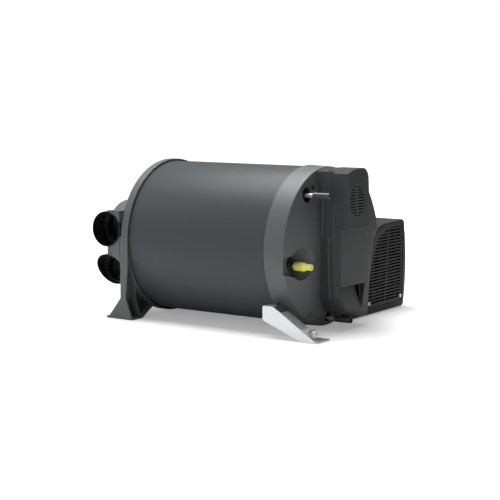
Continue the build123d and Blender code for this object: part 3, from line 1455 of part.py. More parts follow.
def mounting_bracket():
    """Folded steel bracket: hook over the lug, arm with its ramp, and sole with two holes."""
    front = -FRONT_REACH
    sole = -AXIS_HEIGHT
    outline = [
        (BRACKET_LEFT, -BRACKET_TOP),
        (BRACKET_TOP_RIGHT, -BRACKET_TOP),
        (BRACKET_KNEE_X, -BRACKET_KNEE_Z),
        (BRACKET_SOLE_RIGHT, sole),
        (BRACKET_SOLE_LEFT, sole),
        (BRACKET_LEFT, -BRACKET_TOP - BRACKET_LEFT_DROP),
    ]
    arm = across(outline, front, front + STEEL)
    corners = arm.edges().filter_by(Axis.Y).sort_by(Axis.Z)[-2:]
    arm = fillet(corners, BRACKET_CORNER_R)
    slope = (AXIS_HEIGHT - BRACKET_KNEE_Z) / (BRACKET_SOLE_RIGHT - BRACKET_KNEE_X)
    ramp_end_z = -BRACKET_KNEE_Z - slope * (RAMP_END_X - BRACKET_KNEE_X)
    drop = STEEL * math.hypot(1, slope)
    ramp = across(
        [
            (BRACKET_KNEE_X, -BRACKET_KNEE_Z),
            (RAMP_END_X, ramp_end_z),
            (RAMP_END_X, ramp_end_z - drop),
            (BRACKET_KNEE_X, -BRACKET_KNEE_Z - drop),
        ],
        front,
        front + RAMP_DEPTH,
    )
    hook = block(
        BRACKET_LEFT + BRACKET_CORNER_R,
        BRACKET_TOP_RIGHT - BRACKET_CORNER_R,
        front,
        front + BRACKET_HOOK_DEPTH,
        -BRACKET_TOP - STEEL,
        -BRACKET_TOP,
    )
    sole_plate = block(
        BRACKET_SOLE_LEFT,
        BRACKET_SOLE_RIGHT,
        front,
        front + BRACKET_SOLE_DEPTH,
        sole,
        sole + STEEL,
    )
    ends = sole_plate.edges().filter_by(Axis.Z).sort_by(Axis.Y)[-2:]
    sole_plate = fillet(ends, BRACKET_CORNER_R)
    body = arm + ramp + hook + sole_plate
    for y in (BRACKET_HOLE_FRONT_Y, BRACKET_HOLE_REAR_Y):
        body -= Pos(BRACKET_HOLE_X, -y, sole) * Cylinder(BRACKET_HOLE_R, OVERRUN)
    return body - Pos(BOLT_X, -BOLT_Y, sole) * Cylinder(BOLT_HOLE_R, OVERRUN)


def bracket_bolt():
    """Hexagon bolt with its sleeve and washer on the bracket's sole."""
    seat = -AXIS_HEIGHT + STEEL
    washer_seat = seat + SLEEVE_HEIGHT
    sleeve = Pos(BOLT_X, -BOLT_Y, seat + SLEEVE_HEIGHT / 2) * Cylinder(SLEEVE_R, SLEEVE_HEIGHT)
    washer = Pos(BOLT_X, -BOLT_Y, washer_seat + WASHER_WALL / 2) * Cylinder(WASHER_R, WASHER_WALL)
    head_base = Plane.XY.offset(washer_seat + WASHER_WALL) * Pos(BOLT_X, -BOLT_Y)
    head = extrude(head_base * RegularPolygon(BOLT_HEAD_R, 6), BOLT_HEAD_HEIGHT)
    shank = Pos(BOLT_X, -BOLT_Y, seat - STEEL / 2) * Cylinder(BOLT_SHANK_R, STEEL)
    return sleeve + washer + head + shank


def build():
    """Builds and writes every node."""
    save("drum_shell", drum_shell())
    save("insulation_jacket", insulation_jacket())
    save("water_tank", water_tank())
    save("heat_exchanger", heat_exchanger())
    save("combustion_chamber", combustion_chamber())
    save("burner_housing", burner_housing())
    save("glow_igniter", glow_igniter())
    save("water_sensor", water_sensor())
    save("combustion_fan_housing", combustion_fan_housing())
    save("combustion_fan_motor", combustion_fan_motor())
    save("combustion_fan_wheel", combustion_fan_wheel())
    save("outlet_end_cap", outlet_end_cap())
    save("outlet_gasket", gasket(-SHELL_LEFT + FIT / 2))
    save("control_gasket", gasket(SHELL_RIGHT - GASKET_WIDTH - FIT / 2))
    save("air_distributor", air_distributor())
    for tilted, level in ((False, "upper"), (True, "lower")):
        socket = duct_socket(tilted)
        save("duct_socket_front_" + level, socket)
        save("duct_socket_rear_" + level, mirror(socket, Plane.XZ))
    save("control_end_cap", control_end_cap())
    save("fuel_line", fuel_line())
    save("fuel_line_seal", fuel_line_seal())
    save("transport_cap", transport_cap())
    save("hot_water_tube", hot_water_tube())
    save("cold_water_tube", cold_water_tube())
    save("hot_water_grommet", grommet(-HOT_Y, HOT_Z, HOT_HOLE_R, -HOT_Y, HOT_Z))
    save("cold_water_grommet", grommet(COLD_HOLE_Y, -COLD_HOLE_Z, COLD_HOLE_R, COLD_Y, -COLD_Z))
    save("hot_water_hose_tail", hose_tail(-HOT_Y, HOT_Z, True))
    save("cold_water_hose_tail", hose_tail(COLD_Y, -COLD_Z, False))
    save("cover_base", cover_base())
    save("upper_cover", upper_cover())
    save("lower_cover", lower_cover())
    save("circuit_board", circuit_board())
    save("board_pillars", board_pillars())
    save("board_parts", board_parts())
    save("fan_housing", fan_housing())
    save("intake_grille", intake_grille())
    save("grille_screws", grille_screws())
    save("fan_inlet_ring", fan_inlet_ring())
    save("circulation_fan_motor", circulation_fan_motor())
    save("circulation_fan_shaft", circulation_fan_shaft())
    save("circulation_fan_wheel", circulation_fan_wheel())
    save("exhaust_tube", exhaust_tube())
    save("combustion_air_collar", combustion_air_collar())
    save("flue_boss", flue_boss())
    save("mounting_bracket", mounting_bracket())
    save("bracket_bolt", bracket_bolt())


build()
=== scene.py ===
"""Studio scene of a caravan water heater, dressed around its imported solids.

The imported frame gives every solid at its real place, in metres. Each sub-assembly below is a
class: it makes smooth pieces from the frame's solids, models the pieces that the frame holds only
in outline, and gives every surface its finish. Studio adds floor, light and camera.
"""

import json
import logging
import math
from dataclasses import dataclass, field
from enum import Enum

import bpy
from mathutils import Matrix, Vector

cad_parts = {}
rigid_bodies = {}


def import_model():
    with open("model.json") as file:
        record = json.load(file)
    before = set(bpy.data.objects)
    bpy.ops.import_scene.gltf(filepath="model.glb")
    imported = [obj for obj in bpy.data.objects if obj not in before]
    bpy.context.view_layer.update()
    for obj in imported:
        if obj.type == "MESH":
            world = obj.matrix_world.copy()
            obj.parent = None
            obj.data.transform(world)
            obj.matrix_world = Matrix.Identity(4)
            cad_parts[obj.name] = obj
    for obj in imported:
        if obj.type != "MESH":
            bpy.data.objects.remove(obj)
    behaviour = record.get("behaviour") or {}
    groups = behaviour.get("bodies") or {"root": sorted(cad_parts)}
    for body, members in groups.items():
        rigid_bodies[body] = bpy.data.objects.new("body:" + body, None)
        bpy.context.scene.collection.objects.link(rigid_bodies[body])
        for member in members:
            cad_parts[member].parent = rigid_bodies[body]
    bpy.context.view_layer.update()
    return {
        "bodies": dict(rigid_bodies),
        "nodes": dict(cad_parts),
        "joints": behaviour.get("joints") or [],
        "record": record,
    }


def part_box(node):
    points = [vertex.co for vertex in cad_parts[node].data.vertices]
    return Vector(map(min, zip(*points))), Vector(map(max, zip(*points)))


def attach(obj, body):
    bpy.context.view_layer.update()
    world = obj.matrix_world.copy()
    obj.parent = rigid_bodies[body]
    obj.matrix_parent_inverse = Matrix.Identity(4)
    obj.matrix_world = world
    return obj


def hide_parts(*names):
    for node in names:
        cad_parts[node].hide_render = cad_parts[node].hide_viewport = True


LOG = logging.getLogger("water_heater")

# Sockets of a colour mix: its two colours and its result.
MIX_FIRST = 6
MIX_SECOND = 7
MIX_RESULT = 2

# Noises: features per metre, octaves, and the strength of the finer octaves.
BROAD_SCALE = 11.0
BROAD_DETAIL = 3.0
CLOSE_SCALE = 160.0
CLOSE_DETAIL = 4.0
RELIEF_DETAIL = 2.0
FINE_SHARE = 0.55
# A noise seldom leaves this range, so a ramp spreads it.
NOISE_LOW = 0.3
NOISE_HIGH = 0.7

# Share by which the roughness wanders, and strength of the relief.
ROUGHNESS_WANDER = 0.05
RELIEF_STRENGTH = 0.6
BRUSH_STRETCH = 0.004
EDGE_SAMPLES = 4
# Zinc flowers: width in grains, and brightness of the darkest one.
FLOWER_GRAINS = 4
FLOWER_DARKEST = 0.95
# Rubbed edges with a painted highlight: turn of the normal where the lightening starts and is full,
# and the lighter colour.
RUB_AND_HIGHLIGHT_START = 0.98
RUB_AND_HIGHLIGHT_FULL = 0.8
RUB_AND_HIGHLIGHT_LIFT = 0.35
RUB_AND_HIGHLIGHT_GAIN = 1.4

# Corners closer than this, in metres, are one corner of a mesh.
MERGE_DISTANCE = 0.000004
SLIVER_LENGTH = 0.000002

# Angles in degrees past which an edge stays sharp.
PLAIN_CREASE = 32.0
COVER_CREASE = 28.0
ROUND_CREASE = 40.0
BOX_CREASE = 30.0
TURNED_CREASE = 35.0
FOLD_CREASE = 25.0

QUARTER_TURN = math.pi / 2


class Grain(Enum):
    """Kinds of surface grain that a finish can have."""

    MOULDED = "fine pebbled texture of moulded plastic"
    SMOOTH = "smooth, with faint unevenness"
    CAST = "coarse skin of a casting"
    BRUSHED = "fine lines along the piece"
    SPANGLE = "zinc flowers on plated sheet"
    FOAM = "open cells of foam"
    RUBBER = "dull skin of rubber"


class Body(Enum):
    """Rigid bodies of the frame that pieces ride on."""

    HEATER = "heater"
    CIRCULATION_FAN = "circulation_fan"
    COMBUSTION_FAN = "combustion_fan"
    TRANSPORT_CAP = "transport_cap"


class NodeSheet:
    """A material's node tree with short calls for adding and joining nodes."""

    def __init__(self, name: str) -> None:
        """Starts an empty material.

        Args:
            name: Name of the material.
        """
        self.material = bpy.data.materials.new(name)
        self.material.use_nodes = True
        self.tree = self.material.node_tree
        self.tree.nodes.clear()
        self.out = self.add("ShaderNodeOutputMaterial")

    def add(self, kind: str, values: dict | None = None, **settings: object) -> bpy.types.Node:
        """Adds a node.

        Args:
            kind: Blender's type name of the node.
            values: Values of its input sockets, by name or index.
            **settings: Properties of the node itself.

        Returns:
            The new node.
        """
        node = self.tree.nodes.new(kind)
        for key, value in settings.items():
            setattr(node, key, value)
        for key, value in (values or {}).items():
            node.inputs[key].default_value = value
        return node

    def join(self, source: bpy.types.NodeSocket, target: bpy.types.NodeSocket) -> None:
        """Links one socket to another.

        Args:
            source: Output that gives the value.
            target: Input that takes it.
        """
        self.tree.links.new(source, target)

    def ramp(self, source: bpy.types.NodeSocket, low: float, high: float) -> bpy.types.NodeSocket:
        """Spreads a noise value over a range.

        Args:
            source: Socket with the noise.
            low: Lowest value wanted.
            high: Highest value wanted.

        Returns:
            Socket with the spread value.
        """
        spread = {"From Min": NOISE_LOW, "From Max": NOISE_HIGH, "To Min": low, "To Max": high}
        node = self.add("ShaderNodeMapRange", spread)
        self.join(source, node.inputs["Value"])
        return node.outputs["Result"]


@dataclass(frozen=True)
class Finish:
    """How one surface looks.

    Attributes:
        name: Plain name of the finish.
        colour: Base colour in linear light.
        roughness: Middle roughness.
        grain: Kind of surface grain.
        metallic: One for bare metal.
        grain_size: Size of a grain in metres.
        grain_depth: Height of the grain in metres.
        mottle: Share by which the colour wanders.
        edge: Radius of the softened edges in metres.
        wear: Share by which edges are painted lighter, partly as wear and partly as a painted
            highlight.
        sheen: Specular level of the surface.
    """

    name: str
    colour: tuple[float, float, float]
    roughness: float
    grain: Grain = Grain.MOULDED
    metallic: float = 0.0
    grain_size: float = 0.0012
    grain_depth: float = 0.00003
    mottle: float = 0.035
    edge: float = 0.0006
    wear: float = 0.12
    sheen: float = 0.5

    def build(self) -> bpy.types.Material:
        """Makes the material of this finish.

        Returns:
            The material, with all its patterns on Object coordinates.
        """
        sheet = NodeSheet(self.name)
        gloss = {"Metallic": self.metallic, "Specular IOR Level": self.sheen}
        shader = sheet.add("ShaderNodeBsdfPrincipled", gloss)
        place = sheet.add("ShaderNodeTexCoord").outputs["Object"]
        broad = self._noise(sheet, place, BROAD_SCALE, BROAD_DETAIL)
        close = self._noise(sheet, place, CLOSE_SCALE, CLOSE_DETAIL)
        colour = self._colour(sheet, place, broad, close)
        sheet.join(colour, shader.inputs["Base Color"])
        dullest = min(1.0, self.roughness * (1 + ROUGHNESS_WANDER))
        spread = sheet.ramp(close, self.roughness * (1 - ROUGHNESS_WANDER), dullest)
        sheet.join(spread, shader.inputs["Roughness"])
        sheet.join(self._relief(sheet, place), shader.inputs["Normal"])
        sheet.join(shader.outputs["BSDF"], sheet.out.inputs["Surface"])
        return sheet.material

    def _noise(
        self, sheet: NodeSheet, place: bpy.types.NodeSocket, scale: float, detail: float
    ) -> bpy.types.NodeSocket:
        """Adds a noise over the object.

        Args:
            sheet: The material's nodes.
            place: Socket with the coordinates.
            scale: Features per metre.
            detail: Octaves of the noise.

        Returns:
            Socket with the noise value.
        """
        pattern = {"Scale": scale, "Detail": detail, "Roughness": FINE_SHARE}
        node = sheet.add("ShaderNodeTexNoise", pattern)
        sheet.join(place, node.inputs["Vector"])
        return node.outputs["Fac"]

    def _colour(
        self,
        sheet: NodeSheet,
        place: bpy.types.NodeSocket,
        broad: bpy.types.NodeSocket,
        close: bpy.types.NodeSocket,
    ) -> bpy.types.NodeSocket:
        """Adds the wandering colour with its lighter edges, which are partly wear and partly a
        painted highlight.

        Args:
            sheet: The material's nodes.
            place: Socket with the coordinates.
            broad: Noise of hand size.
            close: Noise of finger size.

        Returns:
            Socket with the colour.
        """
        dark = (*(c * (1 - self.mottle) for c in self.colour), 1.0)
        light = (*(min(1.0, c * (1 + self.mottle)) for c in self.colour), 1.0)
        mix = sheet.add("ShaderNodeMix", data_type="RGBA")
        mix.inputs[MIX_FIRST].default_value = dark
        mix.inputs[MIX_SECOND].default_value = light
        both = sheet.add("ShaderNodeMath", operation="ADD")
        sheet.join(broad, both.inputs[0])
        sheet.join(close, both.inputs[1])
        half = sheet.add("ShaderNodeMath", {1: 0.5}, operation="MULTIPLY")
        sheet.join(both.outputs[0], half.inputs[0])
        sheet.join(sheet.ramp(half.outputs[0], 0.0, 1.0), mix.inputs["Factor"])
        colour = mix.outputs[MIX_RESULT]
        if self.grain is Grain.SPANGLE:
            colour = self._spangle(sheet, place, colour)
        # Edges painted lighter: partly rubbed wear, partly a painted highlight.
        if self.wear:
            colour = self._worn(sheet, colour)
        return colour

    def _spangle(
        self, sheet: NodeSheet, place: bpy.types.NodeSocket, colour: bpy.types.NodeSocket
    ) -> bpy.types.NodeSocket:
        """Lays zinc flowers over a colour.

        Args:
            sheet: The material's nodes.
            place: Socket with the coordinates.
            colour: Socket with the colour beneath.

        Returns:
            Socket with the patterned colour.
        """
        cells = sheet.add("ShaderNodeTexVoronoi", {"Scale": 1 / (FLOWER_GRAINS * self.grain_size)})
        sheet.join(place, cells.inputs["Vector"])
        level = sheet.add("ShaderNodeSeparateColor")
        sheet.join(cells.outputs["Color"], level.inputs["Color"])
        strength = sheet.add("ShaderNodeMapRange", {"To Min": FLOWER_DARKEST, "To Max": 1.0})
        sheet.join(level.outputs[0], strength.inputs["Value"])
        scaled = sheet.add("ShaderNodeVectorMath", operation="SCALE")
        sheet.join(colour, scaled.inputs[0])
        sheet.join(strength.outputs["Result"], scaled.inputs["Scale"])
        return scaled.outputs["Vector"]

    def _worn(self, sheet: NodeSheet, colour: bpy.types.NodeSocket) -> bpy.types.NodeSocket:
        """Lightens the colour along edges, partly as wear and partly as a painted highlight.

        Args:
            sheet: The material's nodes.
            colour: Socket with the colour.

        Returns:
            Socket with the colour and its lighter edges, rubbed wear and painted highlight.
        """
        # Edge mask from the softened normal: it lightens edges, partly as wear and partly as a
        # painted highlight.
        soft = sheet.add("ShaderNodeBevel", {"Radius": 2 * self.edge}, samples=EDGE_SAMPLES)
        plain = sheet.add("ShaderNodeNewGeometry")
        dot = sheet.add("ShaderNodeVectorMath", operation="DOT_PRODUCT")
        sheet.join(soft.outputs["Normal"], dot.inputs[0])
        sheet.join(plain.outputs["Normal"], dot.inputs[1])
        rub_and_highlight_range = {"From Min": RUB_AND_HIGHLIGHT_START, "From Max": RUB_AND_HIGHLIGHT_FULL, "To Max": self.wear}
        rub_and_highlight = sheet.add("ShaderNodeMapRange", rub_and_highlight_range)
        sheet.join(dot.outputs["Value"], rub_and_highlight.inputs["Value"])
        mix = sheet.add("ShaderNodeMix", data_type="RGBA")
        lighter = (*(min(1.0, RUB_AND_HIGHLIGHT_LIFT + RUB_AND_HIGHLIGHT_GAIN * c) for c in self.colour), 1.0)
        mix.inputs[MIX_SECOND].default_value = lighter
        sheet.join(rub_and_highlight.outputs["Result"], mix.inputs["Factor"])
        sheet.join(colour, mix.inputs[MIX_FIRST])
        return mix.outputs[MIX_RESULT]

    def _relief(self, sheet: NodeSheet, place: bpy.types.NodeSocket) -> bpy.types.NodeSocket:
        """Adds the grain's relief and the softened edges.

        Args:
            sheet: The material's nodes.
            place: Socket with the coordinates.

        Returns:
            Socket with the surface's normal.
        """
        if self.grain is Grain.BRUSHED:
            stretch = sheet.add("ShaderNodeMapping")
            stretch.inputs["Scale"].default_value = (BRUSH_STRETCH, 1.0, 1.0)
            sheet.join(place, stretch.inputs["Vector"])
            place = stretch.outputs["Vector"]
        if self.grain in (Grain.FOAM, Grain.CAST):
            cells = sheet.add("ShaderNodeTexVoronoi", {"Scale": 1 / self.grain_size})
            sheet.join(place, cells.inputs["Vector"])
            height = cells.outputs["Distance"]
        else:
            height = self._noise(sheet, place, 1 / self.grain_size, RELIEF_DETAIL)
        soft = sheet.add("ShaderNodeBevel", {"Radius": self.edge}, samples=EDGE_SAMPLES)
        depth = {"Strength": RELIEF_STRENGTH, "Distance": self.grain_depth}
        bump = sheet.add("ShaderNodeBump", depth)
        sheet.join(height, bump.inputs["Height"])
        sheet.join(soft.outputs["Normal"], bump.inputs["Normal"])
        return bump.outputs["Normal"]


@dataclass(frozen=True)
class Palette:
    """All finishes of the heater, by the slot that each takes."""

    shell_grey: Finish = Finish(
        "shell_paint", (0.0590, 0.0655, 0.0710), 0.45, Grain.BRUSHED,
        grain_size=0.0022, grain_depth=0.000004, mottle=0.01, wear=0.0, sheen=0.2,
    )
    # Its lighter edges are partly a painted highlight.
    cap_grey: Finish = Finish(
        "end_cap_plastic", (0.1, 0.104, 0.1072), 0.5, grain_size=0.0011, wear=0.16,
    )
    socket_black: Finish = Finish(
        "socket_plastic", (0.011, 0.011, 0.012), 0.2, Grain.SMOOTH,
        grain_size=0.01, grain_depth=0.000004, wear=0.03,
    )
    gasket_black: Finish = Finish(
        "rubber", (0.014, 0.014, 0.015), 0.7, Grain.RUBBER, grain_size=0.0008,
    )
    # Its strongly lighter edges are mostly a painted highlight along the ridges.
    cover_grey: Finish = Finish(
        "cover_plastic", (0.0440, 0.0460, 0.0482), 0.42,
        grain_size=0.0010, edge=0.0009, wear=0.28, sheen=0.2,
    )
    fan_box_grey: Finish = Finish(
        "fan_box_plastic", (0.0179, 0.0188, 0.0194), 0.45,
        grain_size=0.0010, edge=0.0009, wear=0.06, sheen=0.2,
    )
    fan_black: Finish = Finish(
        "fan_wheel_plastic", (0.02, 0.02, 0.021), 0.45, Grain.SMOOTH, grain_depth=0.000004,
    )
    cap_yellow: Finish = Finish(
        "transport_cap_plastic", (0.95, 0.92, 0.19), 0.38, Grain.SMOOTH,
        grain_depth=0.000004, mottle=0.02, wear=0.0,
    )
    tail_grey: Finish = Finish(
        "hose_tail_plastic", (0.0396, 0.0403, 0.0432), 0.35, Grain.SMOOTH, grain_depth=0.000004,
    )
    galvanised: Finish = Finish(
        "zinc_plated_sheet", (0.80, 0.81, 0.82), 0.34, Grain.SPANGLE, 0.75,
        grain_size=0.0012, grain_depth=0.000006, mottle=0.015, wear=0.0,
    )
    stainless: Finish = Finish(
        "bright_steel", (0.74, 0.74, 0.73), 0.36, Grain.BRUSHED, 0.85,
        grain_size=0.0006, grain_depth=0.00001, wear=0.0,
    )
    cast_aluminium: Finish = Finish(
        "cast_aluminium", (0.60, 0.61, 0.62), 0.45, Grain.CAST, 1.0,
        grain_size=0.0018, grain_depth=0.0002,
    )
    foam: Finish = Finish(
        "jacket_foam", (0.74, 0.74, 0.71), 0.9, Grain.FOAM, grain_size=0.004, grain_depth=0.0008,
    )
    brass: Finish = Finish(
        "brass", (0.62, 0.46, 0.18), 0.3, Grain.BRUSHED, 1.0, grain_size=0.0006,
    )
    motor_steel: Finish = Finish(
        "motor_paint", (0.07, 0.07, 0.075), 0.4, Grain.SMOOTH, grain_depth=0.000004,
    )
    board_green: Finish = Finish(
        "board_lacquer", (0.008, 0.045, 0.018), 0.35, Grain.SMOOTH, grain_depth=0.000004,
    )
    board_black: Finish = Finish("relay_plastic", (0.03, 0.03, 0.034), 0.45)

    def shelf(self) -> dict[str, bpy.types.Material]:
        """Builds every finish once.

        Returns:
            The materials by slot name.
        """
        return {slot: getattr(self, slot).build() for slot in self.__dataclass_fields__}


class Hand:
    """Plain modelling moves that the sub-assemblies share."""

    @staticmethod
    def clear() -> None:
        """Leaves edit mode and deselects everything."""
        if bpy.context.object is not None and bpy.context.object.mode != "OBJECT":
            bpy.ops.object.mode_set(mode="OBJECT")
        bpy.ops.object.select_all(action="DESELECT")

    @staticmethod
    def take(piece: bpy.types.Object) -> None:
        """Selects one piece alone and makes it active.

        Args:
            piece: The piece to select.
        """
        Hand.clear()
        piece.select_set(True)
        bpy.context.view_layer.objects.active = piece

    @staticmethod
    def settle(piece: bpy.types.Object, name: str) -> bpy.types.Object:
        """Puts a piece's place into its mesh.

        Args:
            piece: The piece, wherever it was added.
            name: Its new name.

        Returns:
            The same piece with its object at the origin.
        """
        Hand.take(piece)
        bpy.ops.object.transform_apply(location=True, rotation=True, scale=True)
        piece.name = name
        piece.data.name = name
        return piece

    @staticmethod
    def modify(piece: bpy.types.Object, kind: str, **settings: object) -> None:
        """Adds a modifier and applies it.

        Args:
            piece: The piece to change.
            kind: Blender's type name of the modifier.
            **settings: The modifier's properties.
        """
        Hand.take(piece)
        modifier = piece.modifiers.new(kind.title(), kind)
        for key, value in settings.items():
            setattr(modifier, key, value)
        bpy.ops.object.modifier_apply(modifier=modifier.name)

    @staticmethod
    def smooth(piece: bpy.types.Object, crease: float) -> None:
        """Shades a piece smooth, with sharp edges past an angle.

        Args:
            piece: The piece to shade.
            crease: Angle in degrees past which an edge stays sharp.
        """
        Hand.take(piece)
        bpy.ops.object.shade_smooth_by_angle(angle=math.radians(crease))

    @staticmethod
    def face_outward(piece: bpy.types.Object) -> None:
        """Turns all faces of a closed piece outward.

        Args:
            piece: The piece, with one closed surface.
        """
        Hand.take(piece)
        bpy.ops.object.mode_set(mode="EDIT")
        bpy.ops.mesh.select_all(action="SELECT")
        bpy.ops.mesh.normals_make_consistent(inside=False)
        bpy.ops.object.mode_set(mode="OBJECT")

    @staticmethod
    def tube(
        radius: float, start: Vector, end: Vector, wall: float, facets: int, name: str
    ) -> bpy.types.Object:
        """Models an open tube along x, with its wall inside the radius.

        Args:
            radius: Outer radius.
            start: Centre of its low end.
            end: Centre of its high end.
            wall: Thickness of the wall.
            facets: Number of facets round it.
            name: Name of the tube.

        Returns:
            The tube.
        """
        Hand.clear()
        bpy.ops.mesh.primitive_cylinder_add(
            vertices=facets,
            radius=radius,
            depth=end.x - start.x,
            end_fill_type="NOTHING",
            location=(start + end) / 2,
            rotation=(0, QUARTER_TURN, 0),
        )
        tube = Hand.settle(bpy.context.object, name)
        Hand.modify(tube, "SOLIDIFY", thickness=wall, offset=-1.0)
        return tube

    @staticmethod
    def join(piece: bpy.types.Object, extra: bpy.types.Object) -> None:
        """Joins an extra mesh into a piece.

        Args:
            piece: The piece that stays.
            extra: The mesh that becomes part of it.
        """
        Hand.take(piece)
        extra.select_set(True)
        bpy.ops.object.join()

    @staticmethod
    def copy_solid(solid: bpy.types.Object, name: str) -> bpy.types.Object:
        """Copies a solid of the frame as one closed mesh.

        Args:
            solid: The frame's object.
            name: Name of the copy.

        Returns:
            The copy, merged and free of stored normals.
        """
        piece = solid.copy()
        piece.data = solid.data.copy()
        bpy.context.scene.collection.objects.link(piece)
        piece.parent = None
        piece.matrix_world = Matrix.Identity(4)
        for key in list(piece.keys()):
            del piece[key]
        piece.name = name
        piece.data.name = name
        Hand.take(piece)
        if piece.data.has_custom_normals:
            bpy.ops.mesh.customdata_custom_splitnormals_clear()
        bpy.ops.object.mode_set(mode="EDIT")
        bpy.ops.mesh.select_all(action="SELECT")
        bpy.ops.mesh.remove_doubles(threshold=MERGE_DISTANCE)
        bpy.ops.mesh.dissolve_degenerate(threshold=SLIVER_LENGTH)
        bpy.ops.object.mode_set(mode="OBJECT")
        return piece


@dataclass
class SubAssembly:
    """Base of every group of pieces.

    Attributes:
        shelf: Materials by slot.
        made: Names of the pieces made so far.
    """

    frame: dict
    shelf: dict[str, bpy.types.Material]
    made: list[str] = field(default_factory=list)

    def slot_of(self, node: str) -> str:
        """Looks up the record's material slot of a node.

        Args:
            node: The frame's node.

        Returns:
            The name of its slot.
        """
        rows = self.frame["record"]["subparts"]
        return next(row["material_slot"] for row in rows if row["node"] == node)

    def paint(self, piece: bpy.types.Object, slot: str) -> None:
        """Gives a new piece the one finish of its slot.

        Args:
            piece: The new piece.
            slot: The record's material slot.
        """
        piece.data.materials.clear()
        piece.data.materials.append(self.shelf[slot])

    def mount(self, piece: bpy.types.Object, slot: str, body: Body, *nodes: str) -> bpy.types.Object:
        """Finishes a piece and lets it ride in place of its solids.

        Args:
            piece: The new piece.
            slot: The record's material slot.
            body: The rigid body it rides on.
            *nodes: Solids that it stands for.

        Returns:
            The piece.
        """
        self.paint(piece, slot)
        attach(piece, body.value)
        if nodes:
            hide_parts(*nodes)
        self.made.append(piece.name)
        return piece

    def smooth_copy(
        self, node: str, crease: float = PLAIN_CREASE, body: Body = Body.HEATER
    ) -> bpy.types.Object:
        """Stands a smooth-shaded copy in place of a solid.

        Args:
            node: The frame's node.
            crease: Angle in degrees past which an edge stays sharp.
            body: The rigid body it rides on.

        Returns:
            The copy.
        """
        piece = Hand.copy_solid(self.frame["nodes"][node], node + "_dressed")
        Hand.smooth(piece, crease)
        return self.mount(piece, self.slot_of(node), body, node)

    def dress(self, *nodes: str) -> None:
        """Gives solids that stay as they are their procedural finish.

        Args:
            *nodes: The frame's nodes.
        """
        for node in nodes:
            solid = self.frame["nodes"][node]
            for slot in solid.material_slots:
                slot.material = self.shelf[self.slot_of(node)]
            self.made.append(node)

    def report(self) -> None:
        """Logs the pieces of this sub-assembly."""
        LOG.info("%s: %s", type(self).__name__, ", ".join(self.made))


@dataclass
class Drum(SubAssembly):
    """The drum's painted shell, with rounded rims.

    Attributes:
        facets: Number of facets round the shell.
        wall: Thickness of the shell in metres.
        rim_roll: Width of the rounding at the rims in metres.
        roll_steps: Number of steps in the rounding.
        roll_angle: Angle in degrees past which an edge is rounded.
    """

    facets: int = 256
    wall: float = 0.0025
    rim_roll: float = 0.0008
    roll_steps: int = 4
    roll_angle: float = 60.0

    def build(self) -> None:
        """Models the shell from an open cylinder."""
        low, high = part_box("drum_shell")
        centre = (low + high) / 2
        start = Vector((low.x, centre.y, centre.z))
        end = Vector((high.x, centre.y, centre.z))
        radius = (high.z - low.z) / 2
        shell = Hand.tube(radius, start, end, self.wall, self.facets, "drum_shell_dressed")
        Hand.modify(
            shell,
            "BEVEL",
            width=self.rim_roll,
            segments=self.roll_steps,
            limit_method="ANGLE",
            angle_limit=math.radians(self.roll_angle),
        )
        Hand.face_outward(shell)
        Hand.smooth(shell, ROUND_CREASE)
        self.mount(shell, "shell_grey", Body.HEATER, "drum_shell")


@dataclass
class OutletEnd(SubAssembly):
    """Ring with feet, air distributor, duct sockets and gasket at the outlet end.

    Attributes:
        copies: Nodes that get a smooth copy.
    """

    copies: tuple[str, ...] = (
        "outlet_end_cap",
        "air_distributor",
        "duct_socket_front_upper",
        "duct_socket_rear_upper",
        "duct_socket_front_lower",
        "duct_socket_rear_lower",
        "outlet_gasket",
    )

    def build(self) -> None:
        """Makes the smooth pieces of the outlet end."""
        for node in self.copies:
            self.smooth_copy(node)


@dataclass
class ControlEnd(SubAssembly):
    """Domed end with its recess, water stubs, fuel line and transport cap.

    Attributes:
        copies: Nodes that get a smooth copy.
        tails: Nodes of the two hose tails.
        holes: For each grommet, its node, its hole's radius and where its lip ends, in metres.
        lip_gap: Space between a lip and its hole in metres.
        lip_wall: Thickness of a lip in metres.
        lip_facets: Number of facets round a lip.
    """

    copies: tuple[str, ...] = (
        "control_end_cap",
        "control_gasket",
        "hot_water_tube",
        "cold_water_tube",
        "fuel_line",
        "fuel_line_seal",
    )
    tails: tuple[str, ...] = ("hot_water_hose_tail", "cold_water_hose_tail")
    holes: tuple[tuple[str, float, float], ...] = (
        ("hot_water_grommet", 0.0140, 0.1812),
        ("cold_water_grommet", 0.0095, 0.1805),
    )
    lip_gap: float = 0.0003
    lip_wall: float = 0.0008
    lip_facets: int = 64

    def build(self) -> None:
        """Makes the smooth pieces of the control end."""
        for node in self.copies:
            self.smooth_copy(node)
        for node in self.tails:
            self.smooth_copy(node, ROUND_CREASE)
        for node, radius, face_x in self.holes:
            self._grommet(node, radius, face_x)
        self.smooth_copy("transport_cap", ROUND_CREASE, Body.TRANSPORT_CAP)

    def _grommet(self, node: str, radius: float, face_x: float) -> None:
        """Makes a grommet whose rubber lip lines the hole in front of it.

        Args:
            node: The grommet's node.
            radius: Radius of the hole.
            face_x: Where the lip ends, just short of the dome.
        """
        piece = self.smooth_copy(node)
        low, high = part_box(node)
        centre = (low + high) / 2
        start = Vector((high.x, centre.y, centre.z))
        end = Vector((face_x, centre.y, centre.z))
        reach = radius - self.lip_gap
        lip = Hand.tube(reach, start, end, self.lip_wall, self.lip_facets, node + "_lip")
        Hand.smooth(lip, ROUND_CREASE)
        lip.data.materials.append(self.shelf[self.slot_of(node)])
        Hand.join(piece, lip)


